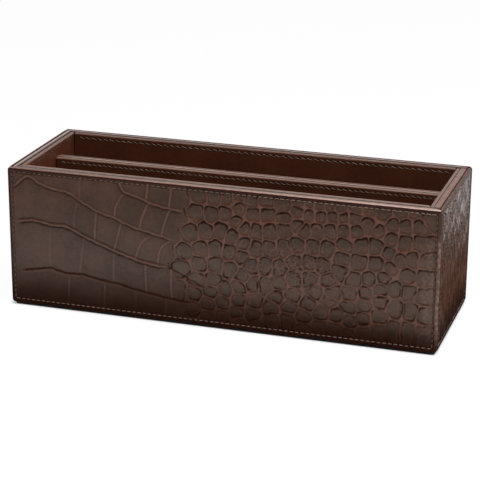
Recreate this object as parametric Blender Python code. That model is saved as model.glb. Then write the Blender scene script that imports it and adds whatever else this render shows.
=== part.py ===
"""Letter rack: an open-topped box of leather over board, with one fixed divider along its length.

Every wall is a sandwich. From the outside in it has an embossed leather cover, a board whose top is
wrapped in smooth leather, and a smooth leather lining. Covers, linings and the divider's facings are
panels with rounded edges and a channel for their stitches. The wraps are folded over the boards and
meet at the corners in mitres. The divider is a thinner sandwich of the same kind.

The origin is on the ground under the middle of the rack. X runs along the rack, the front faces -Y and
Z is up. Lengths are in metres and angles in radians.
"""

import math
from dataclasses import dataclass

import bmesh
import bpy
from mathutils import Vector

# Overall size, over the covers
LENGTH = 0.290
DEPTH = 0.100
HEIGHT = 0.096

# Space left between two pieces that are glued or pressed together
CLEARANCE = 0.0003

# Layers of a wall, from the outside in
COVER_THICKNESS = 0.0025
CORE_THICKNESS = 0.0038
LINING_THICKNESS = 0.0024

# Divider: the clear depth in front of it, how far it stays below the rim, and its layers
FRONT_COMPARTMENT = 0.0487
DIVIDER_DROP = 0.0086
FACING_THICKNESS = 0.0021
DIVIDER_CORE_THICKNESS = 0.0032

# Bottom: the sheet that the rack stands on, the board above it and the leather on the floor
BASE_SHEET_THICKNESS = 0.0012
BASE_SHEET_INSET = 0.0015
BASE_SHEET_CORNER = 0.0025
BASE_BOARD_THICKNESS = 0.0045
BASE_BOARD_CORNER = 0.0010
FLOOR_LINING_THICKNESS = 0.0012
FLOOR_LINING_CORNER = 0.0010

# Leather folded over the top of a board
WRAP_TOP_THICKNESS = 0.0012
WRAP_LEG_THICKNESS = 0.0007
WRAP_LEG_HEIGHT = 0.0110
WRAP_EDGE = 0.0004
DIVIDER_WRAP_LEG_THICKNESS = 0.0005

# Rounding of a cover: its reach in from the upright edges, in from the top and bottom, and into the
# thickness, then the radius at the corners of its outline
COVER_EDGE_SIDE = 0.0018
COVER_EDGE_TOP = 0.0013
COVER_EDGE_DEEP = 0.0014
COVER_CORNER = 0.0022

# Rounding of the linings and facings, alike all round
LINING_EDGE = 0.0010
LINING_CORNER = 0.0012

# Small rounding where a panel's back meets its edges, and at the rims of thin sheets
BACK_EASE = 0.0004
SHEET_EASE = 0.0002

# Channel that a row of stitches presses into a panel
STITCH_INSET = 0.0030
CHANNEL_WIDTH = 0.0011
CHANNEL_DEPTH = 0.0004

# Facets
EDGE_STEPS = 5
EASE_STEPS = 2
CORNER_STEPS = 4
CHANNEL_STEPS = 6
CUTTER_STEPS = 12

# A corner radius never falls below this share of the outline's own, so that no two points meet
TIGHTEST_SHARE = 0.15
SHARP_ANGLE = math.radians(35)

# Sizes that follow from those above
WALL = COVER_THICKNESS + CORE_THICKNESS + LINING_THICKNESS + 2 * CLEARANCE
CORE_OFFSET = COVER_THICKNESS + CLEARANCE
LINING_OFFSET = CORE_OFFSET + CORE_THICKNESS + CLEARANCE
COVER_FOOT = BASE_SHEET_THICKNESS + CLEARANCE
WALL_FOOT = COVER_FOOT + BASE_BOARD_THICKNESS + CLEARANCE
INNER_LENGTH = LENGTH - 2 * WALL
INNER_DEPTH = DEPTH - 2 * WALL
MITRE_GAP = CLEARANCE / math.sqrt(2)
DIVIDER_THICKNESS = 2 * FACING_THICKNESS + DIVIDER_CORE_THICKNESS + 2 * CLEARANCE
DIVIDER_CORE_OFFSET = FACING_THICKNESS + CLEARANCE
DIVIDER_TOP = HEIGHT - DIVIDER_DROP
DIVIDER_FRONT = FRONT_COMPARTMENT - INNER_DEPTH / 2
DIVIDER_BACK = DIVIDER_FRONT + DIVIDER_THICKNESS


@dataclass(frozen=True)
class Wall:
    """An upright wall: the turn of its outer face from the front, that face's distance out, and its run."""

    turn: float
    reach: float
    run: float

    @property
    def outward(self):
        return Vector((math.sin(self.turn), -math.cos(self.turn), 0))


@dataclass(frozen=True)
class Rounding:
    """How a panel's face rounds over: in from its sides, in from its top and bottom, and into its thickness."""

    side: float
    top: float
    deep: float


@dataclass(frozen=True)
class Finish:
    """A plain surface: linear colour, roughness and metallic value."""

    colour: tuple
    roughness: float
    metallic: float = 0


WALLS = {
    "front": Wall(0, DEPTH / 2, LENGTH),
    "right_end": Wall(math.pi / 2, LENGTH / 2, DEPTH),
    "back": Wall(math.pi, DEPTH / 2, LENGTH),
    "left_end": Wall(-math.pi / 2, LENGTH / 2, DEPTH),
}
END_WALLS = ("left_end", "right_end")

EMBOSSED_LEATHER = Finish((0.070, 0.045, 0.032), 0.38)
SMOOTH_LEATHER = Finish((0.150, 0.082, 0.060), 0.45)
LINING_LEATHER = Finish((0.040, 0.016, 0.009), 0.60)
BOARD = Finish((0.300, 0.240, 0.170), 0.90)
BLACK_SHEET = Finish((0.008, 0.007, 0.007), 0.95)


def clear_scene():
    for thing in list(bpy.data.objects):
        bpy.data.objects.remove(thing, do_unlink=True)


def material_of(name, finish):
    material = bpy.data.materials.new(name)
    material.use_nodes = True
    shader = material.node_tree.nodes["Principled BSDF"]
    shader.inputs["Base Color"].default_value = (*finish.colour, 1)
    shader.inputs["Roughness"].default_value = finish.roughness
    shader.inputs["Metallic"].default_value = finish.metallic
    return material


def piece_from(name, form, finish, assembly):
    """Turns a bmesh into a named piece of the assembly, shaded smooth except at its sharp edges."""
    bmesh.ops.recalc_face_normals(form, faces=form.faces)
    mesh = bpy.data.meshes.new(name)
    form.to_mesh(mesh)
    form.free()
    mesh.shade_smooth()
    mesh.set_sharp_from_angle(angle=SHARP_ANGLE)
    piece = bpy.data.objects.new(name, mesh)
    bpy.context.scene.collection.objects.link(piece)
    mesh.materials.append(material_of(name, finish))
    piece.parent = assembly
    return piece


def skin_rings(form, rings):
    """Joins rings of points into one closed body, with a face across the first and the last ring."""
    loops = [[form.verts.new(point) for point in ring] for ring in rings]
    form.faces.new(loops[0][::-1])
    for low, high in zip(loops, loops[1:]):
        for i, corner in enumerate(low):
            following = (i + 1) % len(low)
            form.faces.new((corner, low[following], high[following], high[i]))
    form.faces.new(loops[-1])


def outline_ring(width, height, corner, inset_side, inset_top, level):
    """A rectangle with round corners, drawn in from a panel's outline. Its foot is at y = 0 before that."""
    radius = max(corner - max(inset_side, inset_top), TIGHTEST_SHARE * corner)
    reach = width / 2 - inset_side - radius
    high = height - inset_top - radius
    low = inset_top + radius
    centres = ((reach, high), (-reach, high), (-reach, low), (reach, low))
    points = []
    for quarter, (x, y) in enumerate(centres):
        for step in range(CORNER_STEPS + 1):
            angle = (quarter + step / CORNER_STEPS) * math.pi / 2
            points.append((x + radius * math.cos(angle), y + radius * math.sin(angle), level))
    return points


def ease_levels(ease):
    """(inset, inset, level) of the small rounding round a panel's back."""
    for step in range(EASE_STEPS + 1):
        angle = step / EASE_STEPS * math.pi / 2
        inset = ease * (1 - math.sin(angle))
        yield inset, inset, ease * (1 - math.cos(angle))


def face_levels(thickness, rounding):
    """(inset from the sides, inset from the top, level) of the rounding round a panel's face."""
    for step in range(EDGE_STEPS + 1):
        angle = step / EDGE_STEPS * math.pi / 2
        share = 1 - math.cos(angle)
        level = thickness - rounding.deep * (1 - math.sin(angle))
        yield rounding.side * share, rounding.top * share, level


def channel_levels(thickness):
    """(inset, inset, level) across the half-round channel that a row of stitches presses in all round."""
    for step in range(CHANNEL_STEPS + 1):
        angle = step / CHANNEL_STEPS * math.pi
        inset = STITCH_INSET - CHANNEL_WIDTH / 2 * math.cos(angle)
        yield inset, inset, thickness - CHANNEL_DEPTH * math.sin(angle)


def panel(name, width, height, thickness, corner, rounding, ease, finish, assembly, channel=False):
    """A flat panel in its own frame: X across, Y up from its foot, Z out of its face, its back at Z = 0."""
    levels = [*ease_levels(ease), *face_levels(thickness, rounding)]
    if channel:
        levels += channel_levels(thickness)
    form = bmesh.new()
    skin_rings(form, [outline_ring(width, height, corner, *level) for level in levels])
    return piece_from(name, form, finish, assembly)


def stand(piece, wall, offset, foot):
    """Stands a piece against a wall, with its own Z = 0 this far in from the outer face."""
    piece.rotation_euler = (math.pi / 2, 0, wall.turn)
    piece.location = wall.outward * (wall.reach - offset) + Vector((0, 0, foot))


def cut_stitch_channel(piece, width, height, thickness):
    """Cuts a straight channel under a panel's top edge, ending before its sides."""
    reach = width / 2 - STITCH_INSET
    rings = []
    for x in (-reach, reach):
        ring = []
        for step in range(CUTTER_STEPS):
            angle = (step + 1 / 2) / CUTTER_STEPS * math.tau
            y = height - STITCH_INSET + CHANNEL_WIDTH / 2 * math.cos(angle)
            ring.append((x, y, thickness + CHANNEL_DEPTH * math.sin(angle)))
        rings.append(ring)
    form = bmesh.new()
    skin_rings(form, rings)
    cutter = piece_from(piece.name + "_channel", form, BOARD, piece)
    cutter.hide_render = True
    cutter.display_type = "WIRE"
    cut = piece.modifiers.new("stitch channel", "BOOLEAN")
    cut.operation = "DIFFERENCE"
    cut.solver = "EXACT"
    cut.object = cutter


def sweep(name, section, wall, mitred, finish, assembly):
    """Runs a section along a wall. Its points are (depth in from the outer face, height).

    Mitred ends are cut at 45 degrees on the line through the box's corner, and others are square.
    """
    rings = []
    for side in (-1, 1):
        ring = []
        for depth, height in section:
            reach = wall.run / 2 - (depth + MITRE_GAP if mitred else CLEARANCE)
            ring.append((side * reach, height, -depth))
        rings.append(ring)
    form = bmesh.new()
    skin_rings(form, rings)
    piece = piece_from(name, form, finish, assembly)
    stand(piece, wall, 0, 0)
    return piece


def arc(centre_depth, centre_height, start):
    """Quarter of a circle in a section, for a wrap's folded edge, turning towards the outer face."""
    for step in range(EDGE_STEPS + 1):
        angle = start + step / EDGE_STEPS * math.pi / 2
        yield centre_depth + WRAP_EDGE * math.cos(angle), centre_height + WRAP_EDGE * math.sin(angle)


def wrap_section(outer, thickness, leg, top):
    """Leather folded over a board: a top with two legs, its outer corners rounded."""
    inner = outer + thickness
    foot = top - WRAP_LEG_HEIGHT
    under = top - WRAP_TOP_THICKNESS
    return [
        (inner, foot),
        *arc(inner - WRAP_EDGE, top - WRAP_EDGE, 0),
        *arc(outer + WRAP_EDGE, top - WRAP_EDGE, math.pi / 2),
        (outer, foot),
        (outer + leg, foot),
        (outer + leg, under),
        (inner - leg, under),
        (inner - leg, foot),
    ]


def board_section(outer, thickness, leg, top):
    """A board whose top is thinned to a tongue, so that the wrap's legs lie flush with its faces."""
    inner = outer + thickness
    shoulder = top - WRAP_LEG_HEIGHT - CLEARANCE
    tongue = top - WRAP_TOP_THICKNESS - CLEARANCE
    thinned = leg + CLEARANCE
    return [
        (outer, WALL_FOOT),
        (outer, shoulder),
        (outer + thinned, shoulder),
        (outer + thinned, tongue),
        (inner - thinned, tongue),
        (inner - thinned, shoulder),
        (inner, shoulder),
        (inner, WALL_FOOT),
    ]


def make_cover(side, wall, assembly):
    """An embossed cover. Front and back run the whole length, and the ends stand between them."""
    width = wall.run
    if side in END_WALLS:
        width -= 2 * (COVER_THICKNESS + CLEARANCE)
    rounding = Rounding(COVER_EDGE_SIDE, COVER_EDGE_TOP, COVER_EDGE_DEEP)
    cover = panel(
        side + "_cover", width, HEIGHT - COVER_FOOT, COVER_THICKNESS, COVER_CORNER, rounding, BACK_EASE,
        EMBOSSED_LEATHER, assembly, channel=True,
    )
    stand(cover, wall, COVER_THICKNESS, COVER_FOOT)


def make_core(side, wall, assembly):
    """A wall's board and the leather folded over its top, both mitred at the corners."""
    sizes = (CORE_OFFSET, CORE_THICKNESS, WRAP_LEG_THICKNESS, HEIGHT)
    sweep(side + "_board", board_section(*sizes), wall, True, BOARD, assembly)
    sweep(side + "_rim_wrap", wrap_section(*sizes), wall, True, SMOOTH_LEATHER, assembly)


def make_lining(side, wall, assembly):
    """A lining. The ends run the whole inner depth, and front and back stand between them."""
    width = wall.run - 2 * LINING_OFFSET
    if side not in END_WALLS:
        width -= 2 * (LINING_THICKNESS + CLEARANCE)
    height = HEIGHT - WALL_FOOT
    rounding = Rounding(LINING_EDGE, LINING_EDGE, LINING_EDGE)
    lining = panel(
        side + "_lining", width, height, LINING_THICKNESS, LINING_CORNER, rounding, BACK_EASE,
        LINING_LEATHER, assembly,
    )
    cut_stitch_channel(lining, width, height, LINING_THICKNESS)
    inward = Wall(wall.turn + math.pi, -wall.reach, wall.run)
    stand(lining, inward, -LINING_OFFSET, WALL_FOOT)


def make_facing(name, wall, assembly):
    """One leather face of the divider."""
    width = INNER_LENGTH - 2 * CLEARANCE
    height = DIVIDER_TOP - WALL_FOOT
    rounding = Rounding(LINING_EDGE, LINING_EDGE, LINING_EDGE)
    facing = panel(
        name, width, height, FACING_THICKNESS, LINING_CORNER, rounding, BACK_EASE, LINING_LEATHER, assembly
    )
    cut_stitch_channel(facing, width, height, FACING_THICKNESS)
    stand(facing, wall, FACING_THICKNESS, WALL_FOOT)


def make_divider(assembly):
    """The fixed divider: a board with a wrapped top between two facings, glued between the end linings."""
    front = Wall(0, -DIVIDER_FRONT, INNER_LENGTH)
    back = Wall(math.pi, DIVIDER_BACK, INNER_LENGTH)
    make_facing("divider_front_facing", front, assembly)
    make_facing("divider_rear_facing", back, assembly)
    sizes = (DIVIDER_CORE_OFFSET, DIVIDER_CORE_THICKNESS, DIVIDER_WRAP_LEG_THICKNESS, DIVIDER_TOP)
    sweep("divider_board", board_section(*sizes), front, False, BOARD, assembly)
    sweep("divider_wrap", wrap_section(*sizes), front, False, SMOOTH_LEATHER, assembly)


def sheet(name, low, high, foot, thickness, corner, finish, assembly):
    """A level sheet between two corners, each (x, y), with its edges eased."""
    rounding = Rounding(SHEET_EASE, SHEET_EASE, SHEET_EASE)
    width, depth = high[0] - low[0], high[1] - low[1]
    piece = panel(name, width, depth, thickness, corner, rounding, SHEET_EASE, finish, assembly)
    piece.location = ((low[0] + high[0]) / 2, low[1], foot)


def make_bottom(assembly):
    """The base board under the walls, and the black sheet under it that the rack stands on."""
    reach_x = LENGTH / 2 - BASE_SHEET_INSET
    reach_y = DEPTH / 2 - BASE_SHEET_INSET
    sheet(
        "base_sheet", (-reach_x, -reach_y), (reach_x, reach_y), 0, BASE_SHEET_THICKNESS, BASE_SHEET_CORNER,
        BLACK_SHEET, assembly,
    )
    board_x = LENGTH / 2 - CORE_OFFSET
    board_y = DEPTH / 2 - CORE_OFFSET
    sheet(
        "base_board", (-board_x, -board_y), (board_x, board_y), COVER_FOOT, BASE_BOARD_THICKNESS,
        BASE_BOARD_CORNER, BOARD, assembly,
    )


def make_floors(assembly):
    """The leather on the floor of each compartment."""
    reach = INNER_LENGTH / 2 - CLEARANCE
    spans = {
        "front_floor_lining": (-INNER_DEPTH / 2, DIVIDER_FRONT),
        "rear_floor_lining": (DIVIDER_BACK, INNER_DEPTH / 2),
    }
    for name, (near, far) in spans.items():
        sheet(
            name, (-reach, near + CLEARANCE), (reach, far - CLEARANCE), WALL_FOOT, FLOOR_LINING_THICKNESS,
            FLOOR_LINING_CORNER, LINING_LEATHER, assembly,
        )


def main():
    clear_scene()
    assembly = bpy.data.objects.new("letter_rack", None)
    bpy.context.scene.collection.objects.link(assembly)
    make_bottom(assembly)
    for side, wall in WALLS.items():
        make_cover(side, wall, assembly)
        make_core(side, wall, assembly)
        make_lining(side, wall, assembly)
    make_divider(assembly)
    make_floors(assembly)


main()
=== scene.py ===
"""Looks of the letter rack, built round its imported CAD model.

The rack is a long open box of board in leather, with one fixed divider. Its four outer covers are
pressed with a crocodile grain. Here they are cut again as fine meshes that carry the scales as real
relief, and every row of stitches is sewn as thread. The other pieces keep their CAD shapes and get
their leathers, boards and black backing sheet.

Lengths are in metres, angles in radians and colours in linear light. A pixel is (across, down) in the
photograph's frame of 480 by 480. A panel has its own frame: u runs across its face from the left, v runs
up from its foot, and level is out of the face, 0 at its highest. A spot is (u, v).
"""

import logging
import math
from collections.abc import Sequence
from dataclasses import dataclass, field, replace
from enum import Enum, IntEnum

import bpy
import numpy as np
from mathutils import Euler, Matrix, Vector


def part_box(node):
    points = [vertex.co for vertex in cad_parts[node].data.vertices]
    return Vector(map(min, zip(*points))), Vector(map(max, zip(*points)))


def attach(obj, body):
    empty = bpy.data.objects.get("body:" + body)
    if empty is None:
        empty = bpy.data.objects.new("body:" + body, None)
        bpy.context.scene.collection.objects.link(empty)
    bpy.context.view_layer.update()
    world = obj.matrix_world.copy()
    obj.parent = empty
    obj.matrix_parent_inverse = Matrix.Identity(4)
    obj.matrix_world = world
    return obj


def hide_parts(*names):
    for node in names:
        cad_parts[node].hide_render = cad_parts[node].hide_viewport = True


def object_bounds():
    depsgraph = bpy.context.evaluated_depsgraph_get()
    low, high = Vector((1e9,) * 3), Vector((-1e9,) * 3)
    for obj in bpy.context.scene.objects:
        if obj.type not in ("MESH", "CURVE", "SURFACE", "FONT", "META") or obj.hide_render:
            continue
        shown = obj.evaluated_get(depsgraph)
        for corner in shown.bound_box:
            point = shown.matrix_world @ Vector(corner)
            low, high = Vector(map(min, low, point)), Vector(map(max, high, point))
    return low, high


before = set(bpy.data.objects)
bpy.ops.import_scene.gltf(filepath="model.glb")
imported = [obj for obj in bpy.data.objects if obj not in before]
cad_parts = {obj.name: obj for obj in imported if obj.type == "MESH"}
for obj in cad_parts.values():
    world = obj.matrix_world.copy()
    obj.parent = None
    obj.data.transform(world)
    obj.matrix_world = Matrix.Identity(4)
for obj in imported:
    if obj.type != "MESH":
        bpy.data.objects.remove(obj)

CAD_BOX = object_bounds()

Pixel = tuple[float, float]
Spot = tuple[float, float]
Colour = tuple[float, float, float]
Material = bpy.types.Material
Node = bpy.types.Node
NodeTree = bpy.types.NodeTree
Socket = bpy.types.NodeSocket

MM = 0.001
TINY = 1e-9
RIM = CAD_BOX[1].z
LOG = logging.getLogger("letter_rack")

# Ripples: how many waves they add, the shares of the usual length that these have, and their strength
RIPPLE_WAVES = 7
RIPPLE_LENGTHS = (0.6, 1.7)
RIPPLE_GAIN = 1.6

# Nets of small cells: how many cells there are before they repeat, and how far one's middle may move
NET_CELLS = 64
NET_SHIFT = 0.4


def ramp(low: float, high: float, x: np.ndarray) -> np.ndarray:
    """Rises smoothly from 0 to 1.

    Args:
        low: where it is still 0.
        high: where it has reached 1, which may be below low.
        x: the values to read it at.

    Returns:
        The shares, one for each value.
    """
    share = np.clip((x - low) / (high - low), 0, 1)
    return share * share * (3 - 2 * share)


def hump(centre: float, width: float, x: np.ndarray) -> np.ndarray:
    """A bell of height 1 round a centre."""
    return np.exp(-(((x - centre) / width) ** 2))


def ripple(u: np.ndarray, v: np.ndarray, length: float, seed: int) -> np.ndarray:
    """Smooth irregular waves over a panel.

    Args:
        u: places across.
        v: places up.
        length: the waves' usual length.
        seed: chooses their directions and phases.

    Returns:
        Values between -1 and 1.
    """
    dice = np.random.default_rng(seed)
    total = np.zeros_like(u)
    for _ in range(RIPPLE_WAVES):
        heading = dice.uniform(0, math.tau)
        number = math.tau / (length * dice.uniform(*RIPPLE_LENGTHS))
        total += np.sin(number * (u * math.cos(heading) + v * math.sin(heading)) + dice.uniform(0, math.tau))
    return total / RIPPLE_WAVES * RIPPLE_GAIN


def crackle(u: np.ndarray, v: np.ndarray, size: tuple[float, float], seed: int) -> np.ndarray:
    """Measures how far each place is from the nearest line of a net of small cells.

    Args:
        u: places across.
        v: places up.
        size: the cells' usual width and height.
        seed: chooses how the cells vary.

    Returns:
        The distances, counted in the cells' width.
    """
    shifts = np.random.default_rng(seed).uniform(-NET_SHIFT, NET_SHIFT, (NET_CELLS, NET_CELLS, 2))
    column, row = np.floor(u / size[0]).astype(int), np.floor(v / size[1]).astype(int)
    gaps = []
    for step in np.ndindex(3, 3):
        across, upward = column + step[0] - 1, row + step[1] - 1
        shift = shifts[across % NET_CELLS, upward % NET_CELLS]
        off_u = u / size[0] - across - 0.5 - shift[..., 0]
        off_v = v / size[1] - upward - 0.5 - shift[..., 1]
        gaps.append(np.hypot(off_u, off_v))
    nearest, second = np.sort(np.stack(gaps), 0)[:2]
    return (second - nearest) / 2


@dataclass(frozen=True)
class PhotoCamera:
    """The camera that took the photograph, found from where the rack's own corners lie in it."""

    spot: tuple[float, float, float] = (0.33398, -1.05887, 0.43074)
    tilt_degrees: tuple[float, float, float] = (70.83497, -0.31693, 17.61971)
    lens: float = 132.0556
    sensor: float = 36.0
    pixels: int = 480

    @property
    def turn(self) -> Euler:
        """How the camera is turned."""
        return Euler([math.radians(angle) for angle in self.tilt_degrees])

    def place(self) -> None:
        """Puts the camera in the scene and looks through it."""
        data = bpy.data.cameras.new("photo_camera")
        data.lens = self.lens
        data.sensor_width = self.sensor
        camera = bpy.data.objects.new("photo_camera", data)
        camera.location = self.spot
        camera.rotation_euler = self.turn
        bpy.context.scene.collection.objects.link(camera)
        bpy.context.scene.camera = camera

    def on_upright(self, places: Sequence[Pixel], face: float) -> np.ndarray:
        """Carries pixels to an upright plane that faces the front.

        Args:
            places: the pixels.
            face: the plane's y.

        Returns:
            A row of (x, z) for each pixel.
        """
        focal = self.lens / self.sensor * self.pixels
        middle = self.pixels / 2
        seen = np.asarray(places, float)
        across, upward = (seen[:, 0] - middle) / focal, (middle - seen[:, 1]) / focal
        rays = np.column_stack((across, upward, -np.ones(len(seen))))
        rays = rays @ np.array(self.turn.to_matrix()).T
        reach = (face - self.spot[1]) / rays[:, 1]
        return np.column_stack((self.spot[0] + reach * rays[:, 0], self.spot[2] + reach * rays[:, 2]))


class Facing(Enum):
    """Which way a panel's face looks, in quarter turns from the front."""

    FRONT = 0
    RIGHT = 1
    BACK = 2
    LEFT = 3

    @property
    def across(self) -> Vector:
        """The way that u runs, seen from outside the face."""
        return Vector((math.cos(self.value * math.pi / 2), math.sin(self.value * math.pi / 2), 0))

    @property
    def outward(self) -> Vector:
        """The way that the face looks."""
        return Vector((math.sin(self.value * math.pi / 2), -math.cos(self.value * math.pi / 2), 0))


@dataclass(frozen=True)
class Stand:
    """Where an upright panel stands: the foot of its left edge, on the plane of its face, and its sizes."""

    corner: Vector
    facing: Facing
    width: float
    height: float
    thickness: float

    @classmethod
    def of(cls, node: str, facing: Facing) -> "Stand":
        """Reads a panel's stand from its CAD node.

        Args:
            node: the node's name.
            facing: the way its face looks.

        Returns:
            The stand.
        """
        low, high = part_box(node)
        size = high - low
        width = abs(size.dot(facing.across))
        thickness = abs(size.dot(facing.outward))
        corner = (low + high) / 2 - facing.across * width / 2 + facing.outward * thickness / 2
        corner.z = low.z
        return cls(corner, facing, width, size.z, thickness)

    def place(self, u: np.ndarray, v: np.ndarray, level: np.ndarray) -> np.ndarray:
        """Carries a panel's own places to the rack's frame.

        Args:
            u: places across.
            v: places up.
            level: places out of the face.

        Returns:
            A row of (x, y, z) for each.
        """
        spots = np.multiply.outer(u.ravel(), self.facing.across)
        spots = spots + np.multiply.outer(level.ravel(), self.facing.outward)
        return spots + np.multiply.outer(v.ravel(), (0, 0, 1)) + np.array(self.corner)


def piece_from(
    name: str, points: np.ndarray, faces: list, material: Material
) -> bpy.types.Object:
    """Makes a piece that rides with the rack.

    Args:
        name: the piece's name.
        points: its points.
        faces: the points of each face.
        material: its finish.

    Returns:
        The piece.
    """
    mesh = bpy.data.meshes.new(name)
    mesh.from_pydata(points.tolist(), [], faces)
    mesh.shade_smooth()
    mesh.materials.append(material)
    piece = bpy.data.objects.new(name, mesh)
    bpy.context.scene.collection.objects.link(piece)
    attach(piece, "root")
    return piece


def carry(piece: bpy.types.Object, name: str, values: np.ndarray) -> None:
    """Gives a piece's mesh a value at each point."""
    piece.data.attributes.new(name, "FLOAT", "POINT").data.foreach_set("value", values.astype(np.float32))


# Hides: the pattern of scales on a cover


@dataclass
class HideMaps:
    """What the scales do at each place of a cover: how far it lies down, and masks for its dye and for the
    shade painted into it.
    """

    drop: np.ndarray
    ridge: np.ndarray
    shade: np.ndarray
    dull: np.ndarray
    tone: np.ndarray
    smooth: np.ndarray
    heart: np.ndarray


@dataclass(frozen=True)
class Scales:
    """Scales grown round seed points.

    The last few seeds may be plain. They hold off the scales beside them, and no ridge runs between two
    of them, so that the skin there stays smooth.
    """

    seeds: np.ndarray
    plain: int = 0
    stretch: tuple[float, float] = (1, 1)
    softness: float = 0.7 * MM
    batch: int = 4096

    def measure(self, u: np.ndarray, v: np.ndarray) -> tuple[np.ndarray, np.ndarray]:
        """Finds where each place lies on its scale.

        Args:
            u: places across.
            v: places up.

        Returns:
            The distance in from the scale's edge, and the number of the scale's seed.
        """
        seeds = self.seeds * self.stretch
        spots = np.column_stack((u.ravel(), v.ravel())) * self.stretch
        between = np.linalg.norm(seeds[:, None] - seeds[None], axis=2)
        plain = np.arange(len(seeds)) >= len(seeds) - self.plain
        joined = (plain[:, None] & plain[None]) | np.eye(len(seeds), dtype=bool)
        edges, owners = [], []
        for start in range(0, len(spots), self.batch):
            part = spots[start : start + self.batch]
            rows = np.arange(len(part))
            gap = ((part[:, None] - seeds[None]) ** 2).sum(2)
            own = gap.argmin(1)
            wall = (gap - gap[rows, own][:, None]) / (2 * np.maximum(between[own], TINY))
            wall[joined[own]] = np.inf
            low = wall.min(1)
            crowd = np.exp((low[:, None] - wall) / self.softness).sum(1)
            edges.append(low - self.softness * np.log(crowd))
            owners.append(own)
        return np.concatenate(edges).reshape(u.shape), np.concatenate(owners).reshape(u.shape)


class Draw(IntEnum):
    """What a hide's seed is raised by for each of its own random patterns."""

    WANDER = 0
    BEND = 2
    UNEVEN = 3
    WRINKLING = 5
    WRINKLES = 7
    PATCHES = 8
    CRUMPLE = 9
    WORN = 10
    SWAY = 12
    NIPS = 14
    QUIVER = 30


@dataclass(frozen=True)
class ScaleRelief:
    """How the press shapes the scales: dishes inside raised ridges high up, and cushions near the foot, and
    where shade is painted on them.

    A pair that ends in _from is where a mask starts and where it is full. A pair that ends in _shares is
    the even part and the part that varies.
    """

    ridge_inner: float = 0.14 * MM
    ridge_outer: float = 0.46 * MM
    groove_at: float = 0.84 * MM
    groove_width: float = 0.44 * MM
    groove_depth: float = 0.50 * MM
    groove_least: float = 0.06
    # How much the groove dulls the gloss and is painted in shade, and on which edge of each scale that shade
    # falls
    groove_dull: float = 1.6
    lip_from: tuple[float, float] = (0.05, 0.85)
    nip: float = 0.85
    nip_from: tuple[float, float] = (-0.1, 0.5)
    nip_length: float = 9 * MM
    rest_drop: float = 0.34 * MM
    bowl_reach: float = 3.4 * MM
    # How dark the shade painted in each scale's hollow is, high up and near the foot
    top_hollow_shade: float = 0.55
    low_hollow_shade: float = 1.15
    hollow_shares: tuple[float, float] = (0.6, 0.4)
    dish_drop: float = 0.30 * MM
    cushion_drop: float = 0.46 * MM
    heart: tuple[float, float] = (0.7 * MM, 4.0 * MM)
    heart_shares: tuple[float, float] = (0.35, 0.65)
    # Where the painted shade moves from the scales' lower edges near the foot to their upper edges higher up,
    # and cushions turn to dishes
    turnover: tuple[float, float] = (0 * MM, 66 * MM)
    lean: float = 0.035
    wander: float = 0.6 * MM
    wander_length: float = 8 * MM
    quiver: float = 0.27 * MM
    quiver_length: float = 2.6 * MM
    uneven: float = 0.28 * MM
    uneven_length: float = 12 * MM
    worn_length: float = 7 * MM
    worn_shares: tuple[float, float] = (0.68, 0.32)
    patch_from: tuple[float, float] = (0.0, 0.5)
    patch_length: float = 7 * MM
    echo_at: float = 2.0 * MM
    echo_width: float = 0.36 * MM
    echo: float = 0.75
    wrinkle_size: tuple[float, float] = (4.2 * MM, 3.0 * MM)
    wrinkle_width: float = 0.12
    wrinkle_rise: float = 0.26 * MM
    wrinkle_dye: float = 0.8
    wrinkle_shade: float = 0.6
    wrinkling: float = 0.45
    wrinkling_from: tuple[float, float] = (-0.1, 0.7)
    wrinkling_length: float = 22 * MM
    nick_at: float = 1.3
    nick_width: float = 0.6
    calm: float = 0.8
    crumple: float = 0.070 * MM
    crumple_length: float = 2.6 * MM


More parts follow.
